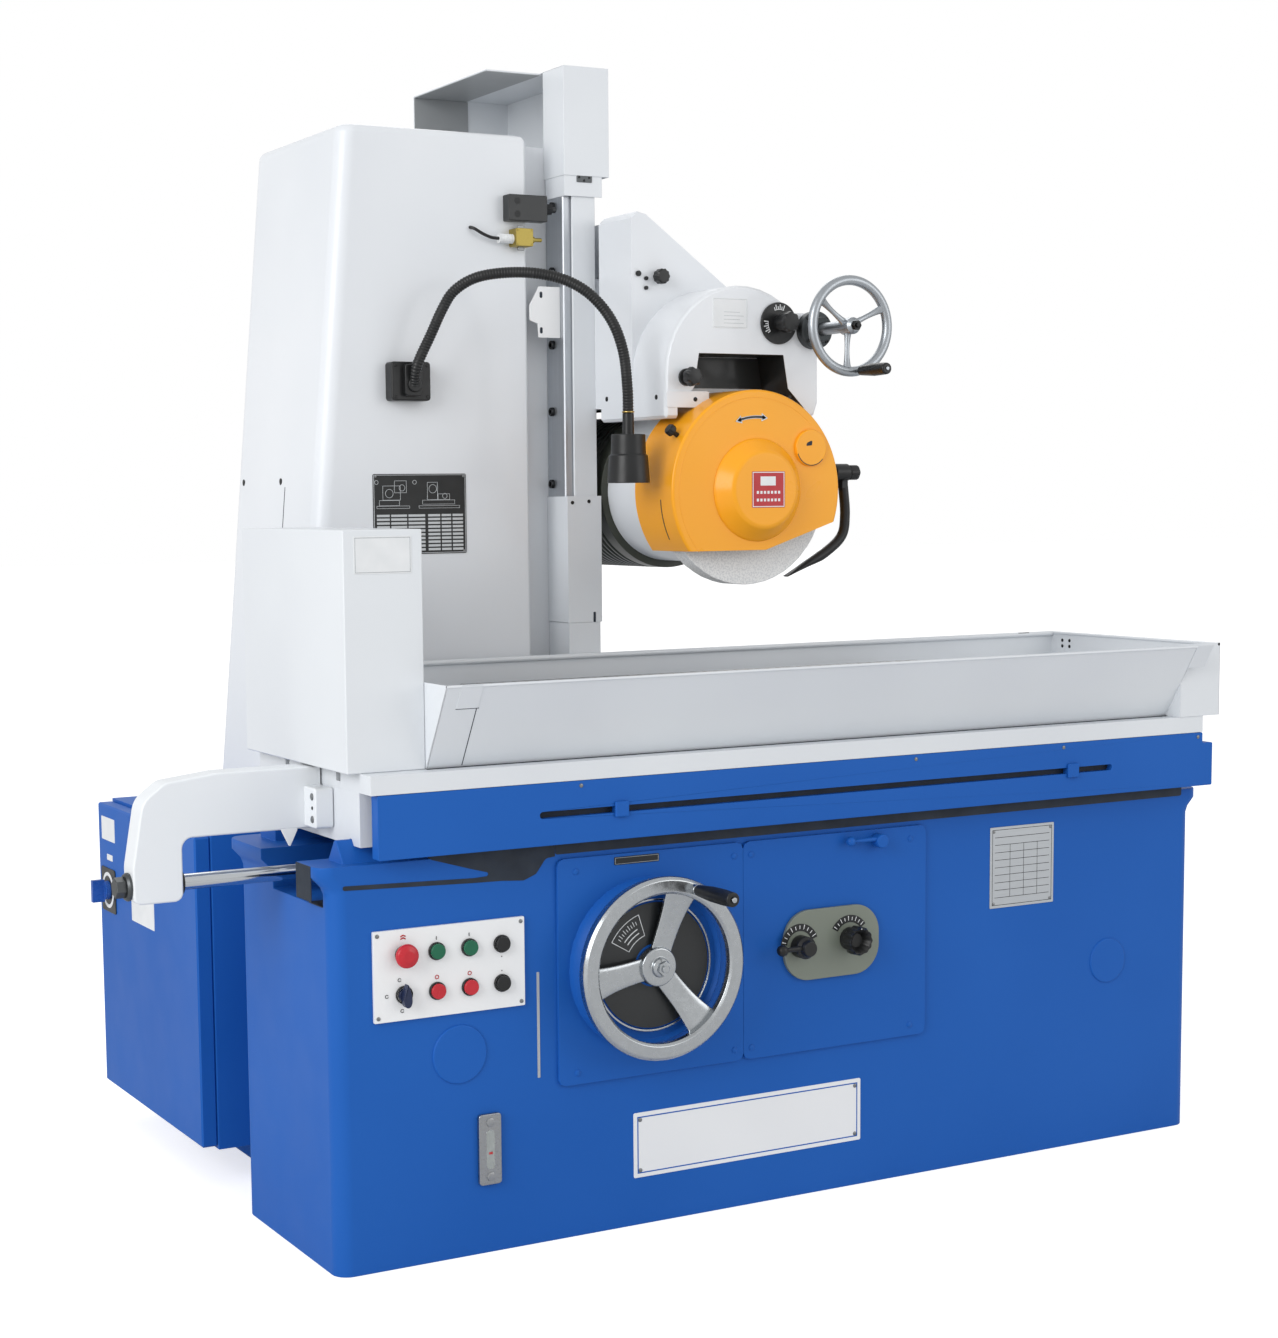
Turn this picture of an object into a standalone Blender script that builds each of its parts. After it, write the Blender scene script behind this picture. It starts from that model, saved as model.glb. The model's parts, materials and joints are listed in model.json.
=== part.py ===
# Horizontal-spindle surface grinder: bed, sliding table with tray, column, saddle, wheelhead, controls.
# Metres, +Z up. X is the table's travel, -Y is the operator's side. The origin lies under the bed's middle.
import math

import bmesh
import bpy
from mathutils import Matrix, Vector

for thing in list(bpy.data.objects):
    bpy.data.objects.remove(thing, do_unlink=True)

# ---- shared clearances and sheet ----
seat = 0.0003
sheet = 0.0020

# ---- bed and column base ----
bed_length = 1.800
bed_depth = 0.410
bed_height = 0.665
bed_corner = 0.028
lip_flare = 0.020
lip_start = 0.619
wall = 0.030
rib_width = 0.060
base_left = -0.780
base_right = -0.110
base_back = 0.720
base_height = 0.620
trough_front = -0.112
trough_back = 0.043
trough_floor = 0.597
cylinder_radius = 0.042
rod_radius = 0.013
rod_y = -0.018
rod_z = 0.632
trough_length = 0.370
cylinder_end_wall = 0.090
vee_y = -0.155
vee_half = 0.034
vee_height = 0.040
flat_way = (0.105, 0.175)
way_top = 0.700

# ---- column and its vertical ways ----
column_top = 1.895
column_front = 0.280
column_back = 0.668
column_right = -0.285
column_left_top = -0.650
column_left_foot = -0.765
column_corner = 0.035
way_face = -0.156
rail_left = -0.220
rail_front = 0.262
rail_depth = 0.068
rail_top = 1.860
web_back = 0.620
screw_x = -0.190
screw_y = 0.475
screw_radius = 0.014
cable_hole = (-0.4005, 1.7245)

# ---- sheet covers over the front way ----
cover_front = 0.250
hood_right = -0.128
hood_bottom = 1.785
hood_top = 2.020
hood_back = 0.655
hood_wide_left = -0.335
lower_cover = (1.005, 1.240)
cover_foot_bottom = 0.900

# ---- table ----
table_left = -0.843
table_right = 0.891
table_front = -0.240
table_back = 0.240
table_top = 0.809
table_edge = 0.031
skirt_left = -0.832
skirt_right = 0.917
skirt_bottom = 0.674
skirt_thick = 0.024
dog_slot_z = 0.725
dog_slot_height = 0.012
dog_slot = (-0.546, 0.665)
dog_places = (-0.394, 0.569)
tee_places = (-0.110, 0.0, 0.110)
tray_left = -0.7300
tray_right = 0.930
tray_rim = 0.948
tray_front_foot = -0.203
tray_front_rim = -0.285
tray_back = 0.243
box_left = -0.866
box_top = 1.191
box_front = -0.201
chuck_half_length = 0.500
chuck_half_depth = 0.150
chuck_height = 0.100

# ---- table rod and its arm ----
arm_front = -0.043
arm_thick = 0.050
arm_left = -1.166
arm_leg = 0.082
arm_foot = 0.605
arm_under = 0.706
arm_top = 0.807

# ---- spindle line ----
spindle_z = 1.2475
wheel_radius = 0.170
wheel_bore = 0.0635
wheel_front = -0.012
wheel_width = 0.040
housing_radius = 0.150
motor_radius = 0.145
spindle_radius = 0.040
guard_front = -0.050
guard_back = 0.080
guard_radius = 0.1775
guard_sheet = 0.0035
guard_foot = 1.1406
hub_radius = 0.092
hub_nose_radius = 0.062
hub_height = 0.028
housing_back = 0.260
motor_back = 0.640

# ---- saddle ----
saddle_front = 0.0
saddle_flank_back = 0.235
saddle_back = 0.700
saddle_half = 0.160
saddle_right = 0.166
saddle_arc_z = 1.451
saddle_foot = 1.375
saddle_wall = 0.025
saddle_inner = -0.127
shoulder_z = 1.566
gusset_front = 0.115
gusset_top = 1.747
tunnel_top = 1.430
dovetail_top = 1.490
dovetail_half_low = 0.100
dovetail_half_top = 0.090
pad_low = 1.400
pad_high = 1.640

# ---- hand controls ----
lift_wheel_x = -0.332
lift_wheel_z = 0.4555
lift_wheel_radius = 0.156
lift_wheel_front = -0.280
boss_front = -0.236
cross_wheel_x = 0.151
cross_wheel_z = 1.535
cross_wheel_radius = 0.089
cross_wheel_y = -0.120
plate_thick = 0.006
apron_left = -0.500
apron_split = -0.136
apron_right = 0.255
apron_low = 0.262
apron_high = 0.645
reverse_spot = (0.145, 0.626)
panel_left = -0.832
panel_width = 0.270
panel_low = 0.411
panel_height = 0.139
button_pitch = 0.0585
button_rows = (0.516, 0.451)
button_radius = 0.0105
bezel_radius = 0.0148
bezel_height = 0.005
hydraulic_x = 0.044
hydraulic_z = 0.453

# ---- electrical cabinet ----
cabinet_left = -0.894
cabinet_front = 0.360
cabinet_back = 0.940
cabinet_bottom = 0.070
cabinet_top = 0.648
door_thick = 0.030

bed_left = -bed_length / 2
bed_right = bed_length / 2
bed_front = -bed_depth / 2

finishes = {
    "blue": ((0.037, 0.138, 0.434, 1), 0.35, 0.0),
    "cream": ((0.77, 0.78, 0.80, 1), 0.4, 0.0),
    "yellow": ((0.93, 0.39, 0.02, 1), 0.4, 0.0),
    "steel": ((0.56, 0.57, 0.58, 1), 0.28, 1.0),
    "iron": ((0.20, 0.21, 0.21, 1), 0.5, 0.2),
    "black": ((0.02, 0.02, 0.02, 1), 0.4, 0.0),
    "red": ((0.55, 0.02, 0.02, 1), 0.35, 0.0),
    "green": ((0.01, 0.16, 0.05, 1), 0.35, 0.0),
    "abrasive": ((0.72, 0.73, 0.74, 1), 0.95, 0.0),
    "white": ((0.86, 0.87, 0.88, 1), 0.35, 0.0),
    "olive": ((0.20, 0.21, 0.15, 1), 0.45, 0.3),
    "brass": ((0.62, 0.45, 0.12, 1), 0.35, 0.6),
}


def finish(piece, kind):
    colour, roughness, metallic = finishes[kind]
    material = bpy.data.materials.new(piece.name + "_" + kind)
    material.use_nodes = True
    shader = material.node_tree.nodes["Principled BSDF"]
    shader.inputs["Base Color"].default_value = colour
    shader.inputs["Roughness"].default_value = roughness
    shader.inputs["Metallic"].default_value = metallic
    piece.data.materials.append(material)
    return piece


def solid(name, shape, origin=(0, 0, 0)):
    bmesh.ops.recalc_face_normals(shape, faces=shape.faces)
    bmesh.ops.translate(shape, verts=shape.verts, vec=-Vector(origin))
    mesh = bpy.data.meshes.new(name)
    shape.to_mesh(mesh)
    shape.free()
    piece = bpy.data.objects.new(name, mesh)
    piece.location = origin
    bpy.context.collection.objects.link(piece)
    return piece


def block(name, low, high, origin=(0, 0, 0)):
    shape = bmesh.new()
    size = [b - a for a, b in zip(low, high)]
    middle = [(a + b) / 2 for a, b in zip(low, high)]
    place = Matrix.Translation(middle) @ Matrix.Diagonal((*size, 1))
    bmesh.ops.create_cube(shape, size=1, matrix=place)
    return solid(name, shape, origin)


axis_order = {"X": (2, 0, 1), "Y": (0, 2, 1), "Z": (0, 1, 2)}


def spot(axis, u, v, along):
    # a point from its two coordinates across an axis and its coordinate along it
    return [(u, v, along)[k] for k in axis_order[axis]]


def prism(name, axis, outline, start, end):
    shape = bmesh.new()
    ends = [[shape.verts.new(spot(axis, u, v, at)) for u, v in outline] for at in (start, end)]
    for ring in ends:
        shape.faces.new(ring)
    count = len(outline)
    for i in range(count):
        j = (i + 1) % count
        shape.faces.new((ends[0][i], ends[0][j], ends[1][j], ends[1][i]))
    return solid(name, shape)


def stacked(name, layers):
    # outlines with the same number of points, one above the other
    shape = bmesh.new()
    rings = [[shape.verts.new((x, y, z)) for x, y in outline] for z, outline in layers]
    shape.faces.new(rings[0])
    shape.faces.new(rings[-1])
    count = len(rings[0])
    for below, above in zip(rings, rings[1:]):
        for i in range(count):
            j = (i + 1) % count
            shape.faces.new((below[i], below[j], above[j], above[i]))
    return solid(name, shape)


def turned(name, axis, centre, profile, steps=32, origin=None):
    # profile: (distance along the axis, radius); a radius of 0 at both ends closes a solid without a bore
    shape = bmesh.new()
    cu, cv = centre
    rings = []
    for along, radius in profile:
        if radius == 0:
            rings.append([shape.verts.new(spot(axis, cu, cv, along))])
            continue
        turn = [2 * math.pi * i / steps for i in range(steps)]
        rings.append([shape.verts.new(spot(axis, cu + radius * math.cos(t), cv + radius * math.sin(t), along))
                      for t in turn])
    pairs = list(zip(rings, rings[1:]))
    if profile[0][1] > 0:
        pairs.append((rings[-1], rings[0]))
    for one, other in pairs:
        for i in range(steps):
            j = (i + 1) % steps
            corners = [one[i % len(one)], one[j % len(one)], other[j % len(other)], other[i % len(other)]]
            shape.faces.new(list(dict.fromkeys(corners)))
    place = origin or spot(axis, cu, cv, profile[0][0])
    piece = solid(name, shape, place)
    piece.data.shade_smooth()
    piece.data.set_sharp_from_angle(angle=math.radians(35))
    return piece


def rod(name, axis, centre, start, end, radius, steps=24, chamfer=0.0, origin=None):
    low, high = min(start, end), max(start, end)
    profile = [(low, 0), (low, radius - chamfer), (high, radius), (high, 0)]
    if chamfer:
        profile = [(low, 0), (low, radius - chamfer), (low + chamfer, radius),
                   (high - chamfer, radius), (high, radius - chamfer), (high, 0)]
    return turned(name, axis, centre, profile, steps, origin)


def rounded(left, right, front, back, corner, steps=4):
    points = []
    for cx, cy, start in ((right - corner, back - corner, 0), (left + corner, back - corner, 90),
                          (left + corner, front + corner, 180), (right - corner, front + corner, 270)):
        for i in range(steps + 1):
            t = math.radians(start + 90 * i / steps)
            points.append((cx + corner * math.cos(t), cy + corner * math.sin(t)))
    return points


def combine(piece, tool, operation):
    change = piece.modifiers.new(tool.name, "BOOLEAN")
    change.operation = operation
    change.solver = "EXACT"
    change.object = tool
    tool.hide_render = True
    tool.display_type = "WIRE"
    return piece


def cut(piece, *tools):
    for tool in tools:
        combine(piece, tool, "DIFFERENCE")
    return piece


def join(piece, *tools):
    for tool in tools:
        combine(piece, tool, "UNION")
    return piece


def soften(piece, width, segments=1, angle=40):
    bevel = piece.modifiers.new("edges", "BEVEL")
    bevel.width = width
    bevel.segments = segments
    bevel.limit_method = "ANGLE"
    bevel.angle_limit = math.radians(angle)
    return piece


def pipe(name, points, radius, resolution=3):
    curve = bpy.data.curves.new(name, "CURVE")
    curve.dimensions = "3D"
    curve.bevel_depth = radius
    curve.bevel_resolution = resolution
    curve.use_fill_caps = True
    line = curve.splines.new("POLY")
    line.points.add(len(points) - 1)
    for node, point in zip(line.points, points):
        node.co = (*point, 1)
    piece = bpy.data.objects.new(name, curve)
    bpy.context.collection.objects.link(piece)
    return piece


def sweep(name, points, radius, sides=10):
    # a round bar along a path, with flat ends
    path = [Vector(p) for p in points]
    shape = bmesh.new()
    rings = []
    side = None
    for before, at, after in zip([path[0], *path], path, [*path[1:], path[-1]]):
        along = (after - before).normalized()
        if side is None:
            side = along.orthogonal().normalized()
        side = (side - along * side.dot(along)).normalized()
        other = along.cross(side)
        turn = [2 * math.pi * i / sides for i in range(sides)]
        rings.append([shape.verts.new(at + (side * math.cos(t) + other * math.sin(t)) * radius) for t in turn])
    shape.faces.new(rings[0])
    shape.faces.new(rings[-1])
    for one, two in zip(rings, rings[1:]):
        for i in range(sides):
            j = (i + 1) % sides
            shape.faces.new((one[i], one[j], two[j], two[i]))
    piece = solid(name, shape)
    piece.data.shade_smooth()
    piece.data.set_sharp_from_angle(angle=math.radians(50))
    return piece


def smooth_path(points, steps):
    # Catmull-Rom curve through the route's own points
    ends = [points[0], *points, points[-1]]
    path = []
    for a, b, c, d in zip(ends, ends[1:], ends[2:], ends[3:]):
        a, b, c, d = (Vector(p) for p in (a, b, c, d))
        for i in range(steps):
            t = i / steps
            path.append(0.5 * ((2 * b) + (c - a) * t + (2 * a - 5 * b + 4 * c - d) * t * t
                               + (3 * b - a - 3 * c + d) * t ** 3))
    return [*path, Vector(points[-1])]


# ---------------------------------------------------------------- bed
def vee(lift, foot):
    half = vee_half * (way_top + lift - foot) / vee_height
    return [(vee_y - half, foot), (vee_y + half, foot), (vee_y + 0.004, way_top + lift),
            (vee_y - 0.004, way_top + lift)]


def make_bed():
    def ring(grow):
        return rounded(bed_left - grow, bed_right + grow, bed_front, -bed_front, bed_corner, 6)

    bed = stacked("bed_casting", [(0, ring(0)), (lip_start, ring(0)), (lip_start + 0.012, ring(lip_flare * 0.25)),
                                  (lip_start + 0.028, ring(lip_flare)), (bed_height, ring(lip_flare))])
    foot = stacked("bed_rear_foot", [(z, rounded(base_left, base_right, 0.1, base_back, bed_corner, 6))
                                     for z in (0, base_height)])
    join(bed, foot)
    way_span = (bed_left + 0.030, bed_right - 0.030)
    join(bed, prism("bed_vee_way", "X", vee(0, way_top - vee_height), *way_span))
    join(bed, block("bed_flat_way", (way_span[0], flat_way[0], 0.64), (way_span[1], flat_way[1], way_top - 0.010)))
    for side in (-1, 1):
        edges = sorted((side * rib_width / 2, side * (bed_length / 2 - wall)))
        low = (edges[0], bed_front + wall, -0.1)
        high = (edges[1], -bed_front - wall, trough_floor - 0.090)
        cut(bed, block("bed_hollow", low, high))
    cut(bed, block("foot_hollow", (base_left + wall, -bed_front + wall, -0.1),
                   (base_right - wall, base_back - wall, base_height - wall)))
    pocket_start = bed_left + trough_length
    pocket_end = bed_right - cylinder_end_wall
    cut(bed, block("trough", (bed_left - 0.1, trough_front, trough_floor), (pocket_end, trough_back, 0.9)))
    cut(bed, block("trough_mouth", (bed_left - 0.1, -0.172, trough_floor), (bed_left + 0.080, trough_back, 0.640)))
    room = cylinder_radius + 0.006
    cut(bed, block("cylinder_pocket", (pocket_start, rod_y - room, rod_z - room),
                   (pocket_end, rod_y + room, 0.9)))
    panel_right = panel_left + panel_width
    cut(bed, block("panel_pocket", (panel_left + 0.020, bed_front - 0.1, panel_low + 0.015),
                   (panel_right - 0.015, bed_front + 0.029, panel_low + panel_height - 0.012)))
    finish(bed, "blue")

    length = pocket_end - pocket_start - 0.004
    start = pocket_start + 0.002
    flat = rod_z - cylinder_radius
    barrel = turned("hydraulic_cylinder", "X", (rod_y, rod_z), [
        (start, rod_radius + 0.0003), (start, cylinder_radius), (start + length, cylinder_radius),
        (start + length, 0.020), (start + length - 0.020, 0.020), (start + length - 0.020, 0.032),
        (start + 0.030, 0.032), (start + 0.030, rod_radius + 0.0003)], 24)
    for x in (start + 0.04, start + length - 0.04):
        join(barrel, block("cylinder_foot", (x - 0.025, rod_y - 0.030, rod_z - room + seat),
                           (x + 0.025, rod_y + 0.030, flat + 0.006)))
    finish(barrel, "iron")


# ---------------------------------------------------------------- column
def make_column():
    foot = base_height + seat

    def ring(z, inset):
        share = (z - foot) / (column_top - foot)
        left = column_left_foot + (column_left_top - column_left_foot) * share
        return z, rounded(left + inset, column_right - inset, column_front + inset,
                          column_back - inset, column_corner, 6)

    column = stacked("column_casting", [ring(foot, 0), ring(column_top - 0.024, 0),
                                        ring(column_top - 0.008, 0.007), ring(column_top, 0.022)])
    web_front = rail_front + rail_depth + seat
    join(column, block("column_web", (column_right - 0.05, web_front, foot),
                       (way_face - 0.010, web_back - seat, column_top - 0.012)))
    cut(column, block("screw_recess", (screw_x - 0.030, screw_y - 0.045, foot + 0.080),
                      (0, screw_y + 0.045, column_top + 0.1)))
    hollow = rounded(column_left_top + 0.040, column_right - 0.060, column_front + 0.040,
                     column_back - 0.040, 0.02)
    cut(column, stacked("column_hollow", [(foot - 0.1, hollow), (column_top - 0.090, hollow)]))
    cut(column, rod("cable_bore", "Y", cable_hole, column_front - 0.01, column_front + 0.012, 0.0045, 12))
    finish(column, "cream")
    for name, front in (("front_guide_rail", rail_front), ("rear_guide_rail", web_back)):
        rail = block(name, (rail_left, front, foot), (way_face, front + rail_depth, rail_top))
        finish(soften(rail, 0.002), "steel")
    screw = rod("lift_screw", "Z", (screw_x, screw_y), foot + 0.080 + seat, rail_top, screw_radius, 20, 0.002)
    finish(screw, "steel")


def make_covers():
    back = rail_front + rail_depth
    left = rail_left - seat - sheet
    hood = block("guide_hood", (left, cover_front, hood_bottom), (hood_right, cover_front + sheet, hood_top))
    over = 0.0005
    join(hood,
         block("hood_left", (left, cover_front + over, hood_bottom + over),
               (left + sheet, back, hood_top - over)),
         block("hood_side", (hood_right - sheet, cover_front + over, hood_bottom + over),
               (hood_right - over, hood_back, hood_top - over)),
         block("hood_roof", (left + over, cover_front + over, hood_top - sheet),
               (hood_right - over, hood_back, hood_top - over)),
         block("hood_roof_wide", (hood_wide_left, back + 0.010, hood_top - sheet - over),
               (hood_right - sheet / 2, hood_back, hood_top - 2 * over)),
         block("hood_rear", (hood_wide_left + over, hood_back - sheet, column_top + seat),
               (hood_right - over, hood_back + over, hood_top - 2 * over)),
         block("hood_step", (left + 0.0008, cover_front + 0.0012, hood_bottom - 0.045),
               (hood_right - 0.005, cover_front + 0.0012 + sheet, hood_bottom + 0.010)),
         block("hood_step_left", (left + 0.0008, cover_front + 0.0015, hood_bottom - 0.0445),
               (left + sheet - over / 2, back - 0.004, hood_bottom + 0.0095)))
    finish(hood, "cream")

    lower = block("lower_guide_cover", (left, cover_front, lower_cover[0]),
                  (way_face + 0.0055, cover_front + sheet, lower_cover[1]))
    join(lower,
         block("lower_left", (left, cover_front + over, lower_cover[0] + over),
               (left + sheet, back, lower_cover[1] - over)),
         block("lower_foot", (left + 0.004, cover_front + 0.0016, cover_foot_bottom),
               (way_face + 0.0025, cover_front + 0.0016 + sheet, lower_cover[0] + 0.010)))
    finish(lower, "cream")


# ---------------------------------------------------------------- plates, gauge and hydraulic panel
def apron(name, left, right):
    plate = prism(name, "Y", rounded(left, right, apron_low, apron_high, 0.012, 2),
                  bed_front - seat - plate_thick, bed_front - seat)
    return finish(plate, "blue")


def make_front():
    left_plate = apron("left_apron_plate", apron_left, apron_split - seat)
    boss = turned("handwheel_boss", "Y", (lift_wheel_x, lift_wheel_z), [
        (boss_front, 0.015), (boss_front, 0.1080), (boss_front + 0.008, 0.1080), (boss_front + 0.008, 0.128),
        (boss_front, 0.134), (boss_front + 0.012, 0.144), (bed_front - 0.004, 0.1475),
        (bed_front - 0.004, 0.015)], 36)
    bore = rod("handwheel_bore", "Y", (lift_wheel_x, lift_wheel_z), bed_front - 0.05, bed_front + 0.01, 0.0163, 24)
    join(left_plate, boss)
    cut(left_plate, bore)
    right_plate = apron("right_apron_plate", apron_split, apron_right)
    for dx, dz in ((-0.069, 0.0), (0.037, 0.003)):
        cut(right_plate, rod("valve_bore", "Y", (hydraulic_x + dx, hydraulic_z + dz), bed_front - 0.05,
                             bed_front + 0.01, 0.0085, 16))
    cut(right_plate, rod("lever_bore", "Y", reverse_spot, bed_front - 0.05, bed_front + 0.01, 0.0065, 16))
    face = bed_front - seat - plate_thick
    outline = rounded(hydraulic_x - 0.100, hydraulic_x + 0.102, hydraulic_z - 0.063, hydraulic_z + 0.062, 0.052, 5)
    valve_plate = prism("hydraulic_plate", "Y", outline, face - seat - 0.008, face - seat)
    for dx, dz in ((-0.069, 0.0), (0.037, 0.003)):
        cut(valve_plate, rod("valve_bore", "Y", (hydraulic_x + dx, hydraulic_z + dz), bed_front - 0.05,
                             bed_front + 0.01, 0.0085, 16))
    finish(valve_plate, "olive")
    gauge = prism("oil_gauge", "Y", rounded(-0.651, -0.609, 0.116, 0.236, 0.020, 4),
                  bed_front - seat - 0.010, bed_front - seat)
    cut(gauge, prism("gauge_window", "Y", rounded(-0.637, -0.623, 0.142, 0.210, 0.006, 2),
                     bed_front - 0.02, bed_front - seat - 0.006))
    finish(gauge, "steel")


def button_spots():
    # (name, finish, column, row)
    return [("emergency_stop", "red", 0, 0), ("start_button_left", "green", 1, 0),
            ("start_button_right", "green", 2, 0), ("jog_button_top", "black", 3, 0),
            ("pump_selector", "black", 0, 1), ("stop_button_left", "red", 1, 1),
            ("stop_button_right", "red", 2, 1), ("jog_button_bottom", "black", 3, 1)]


def make_panel():
    back = bed_front - seat
    face = back - plate_thick
    nose = face - bezel_height
    right = panel_left + panel_width
    panel = prism("button_panel", "Y", rounded(panel_left, right, panel_low, panel_low + panel_height, 0.006, 2),
                  face, back)
    finish(panel, "white")
    first = panel_left + 0.052
    centres = [(first + column * button_pitch, button_rows[row]) for _, _, column, row in button_spots()]
    for x, z in centres:
        join(panel, rod("bezel", "Y", (x, z), nose, face + 0.003, bezel_radius, 16))
    for x, z in centres:
        cut(panel, rod("bezel_bore", "Y", (x, z), nose - 0.01, back + 0.01, button_radius + seat * 1.4, 16))
    for (name, kind, _, _), (x, z) in zip(button_spots(), centres):
        button = rod(name, "Y", (x, z), nose - 0.005, back + 0.006, button_radius, 16, 0.001, (x, nose, z))
        if name == "emergency_stop":
            join(button, turned("stop_mushroom", "Y", (x, z), [
                (nose - 0.019, 0), (nose - 0.018, 0.011), (nose - 0.014, 0.018), (nose - 0.006, 0.020),
                (nose - 0.0045, 0.018), (nose - 0.0045, 0)], 24))
        if name == "pump_selector":
            join(button, block("selector_bar", (x - 0.0045, nose - 0.014, z - 0.012),
                               (x + 0.0045, nose - 0.0005, z + 0.012)))
        finish(button, kind)


def make_valves():
    face = bed_front - 2 * seat - plate_thick - 0.008
    x, z = hydraulic_x - 0.069, hydraulic_z
    lever = turned("hydraulic_lever", "Y", (x, z), [
        (face - 0.036, 0), (face - 0.036, 0.013), (face - 0.030, 0.015), (face - 0.026, 0.015),
        (face - 0.022, 0.020), (face - seat, 0.020), (face - seat, 0.008), (bed_front - 0.001, 0.008),
        (bed_front - 0.001, 0)], 24)
    join(lever, rod("lever_arm", "X", (face - 0.024, z + 0.001), x - 0.046, x - 0.010, 0.005, 12))
    join(lever, turned("lever_ball", "X", (face - 0.024, z + 0.001), [
        (x - 0.062, 0), (x - 0.060, 0.007), (x - 0.053, 0.0105), (x - 0.046, 0.007), (x - 0.044, 0)], 16))
    finish(lever, "black")
    x, z = hydraulic_x + 0.037, hydraulic_z + 0.003
    knob = turned("hydraulic_knob", "Y", (x, z), [
        (face - 0.022, 0), (face - 0.022, 0.014), (face - 0.036, 0.020), (face - 0.038, 0.025),
        (face - 0.030, 0.0265), (face - 0.014, 0.0255), (face - 0.010, 0.021), (face - seat, 0.021),
        (face - seat, 0.008), (bed_front - 0.001, 0.008), (bed_front - 0.001, 0)], 28)
    finish(knob, "black")
    plate = bed_front - seat - plate_thick
    x, z = reverse_spot
    reverse = rod("reversing_lever", "Y", (x, z), plate - 0.020, bed_front - 0.001, 0.006, 16)
    join(reverse, rod("reverse_hub", "Y", (x, z), plate - 0.022, plate - seat, 0.013, 20, 0.002))
    arm = rod("reverse_arm", "X", (plate - 0.014, z + 0.004), x - 0.060, x, 0.0042, 12)
    join(reverse, arm)
    join(reverse, turned("reverse_ball", "X", (plate - 0.014, z + 0.004), [
        (x - 0.074, 0), (x - 0.072, 0.007), (x - 0.065, 0.009), (x - 0.058, 0.007), (x - 0.056, 0)], 16))
    finish(reverse, "blue")


# ---------------------------------------------------------------- cabinet
def make_cabinet():
    body_right = base_left - seat
    body = block("cabinet_body", (cabinet_left, cabinet_front, cabinet_bottom),
                 (body_right, cabinet_back, cabinet_top))
    cut(body, block("cabinet_room", (cabinet_left - 0.1, cabinet_front + 0.020, cabinet_bottom + 0.020),
                    (body_right - 0.004, cabinet_back - 0.020, cabinet_top - 0.020)))
    hinge = (cabinet_left - seat, cabinet_front + 0.002, (cabinet_bottom + cabinet_top) / 2)
    door = block("cabinet_door", (cabinet_left - seat - door_thick, cabinet_front + 0.004, cabinet_bottom + 0.006),
                 (cabinet_left - seat, cabinet_back - 0.002, cabinet_top - 0.006), hinge)
    soften(door, 0.003)
    cut(door, block("door_back", (cabinet_left - door_thick + 0.003, cabinet_front + 0.030, cabinet_bottom + 0.030),
                    (cabinet_left + 0.01, cabinet_back - 0.030, cabinet_top - 0.030)))
    switch_y, switch_z = cabinet_back - 0.062, 0.473
    outer = cabinet_left - seat - door_thick
    cut(door, rod("switch_bore", "X", (switch_y, switch_z), outer - 0.01, outer + 0.01, 0.0083, 16))
    finish(door, "blue")
    switch = rod("main_switch", "X", (switch_y, switch_z), outer - 0.012, outer - seat, 0.019, 24, 0.001,
                 (outer, switch_y, switch_z))
    join(switch, rod("switch_stem", "X", (switch_y, switch_z), outer - 0.005, outer + 0.010, 0.008, 16))
    join(switch, block("switch_grip", (outer - 0.036, switch_y - 0.006, switch_z - 0.022),
                       (outer - 0.011, switch_y + 0.006, switch_z + 0.022)))
    finish(switch, "blue")
    join(body, block("contactor_rack", (body_right - 0.012, cabinet_front + 0.060, cabinet_bottom + 0.060),
                     (body_right - 0.002, cabinet_back - 0.060, cabinet_top - 0.060)))
    for row, z in enumerate((0.180, 0.360, 0.500)):
        for column in range(4 - row % 2):
            y = cabinet_front + 0.140 + column * 0.100
            join(body, block("contactor", (body_right - 0.070, y, z), (body_right - 0.008, y + 0.070, z + 0.085)))
    finish(body, "blue")


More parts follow.
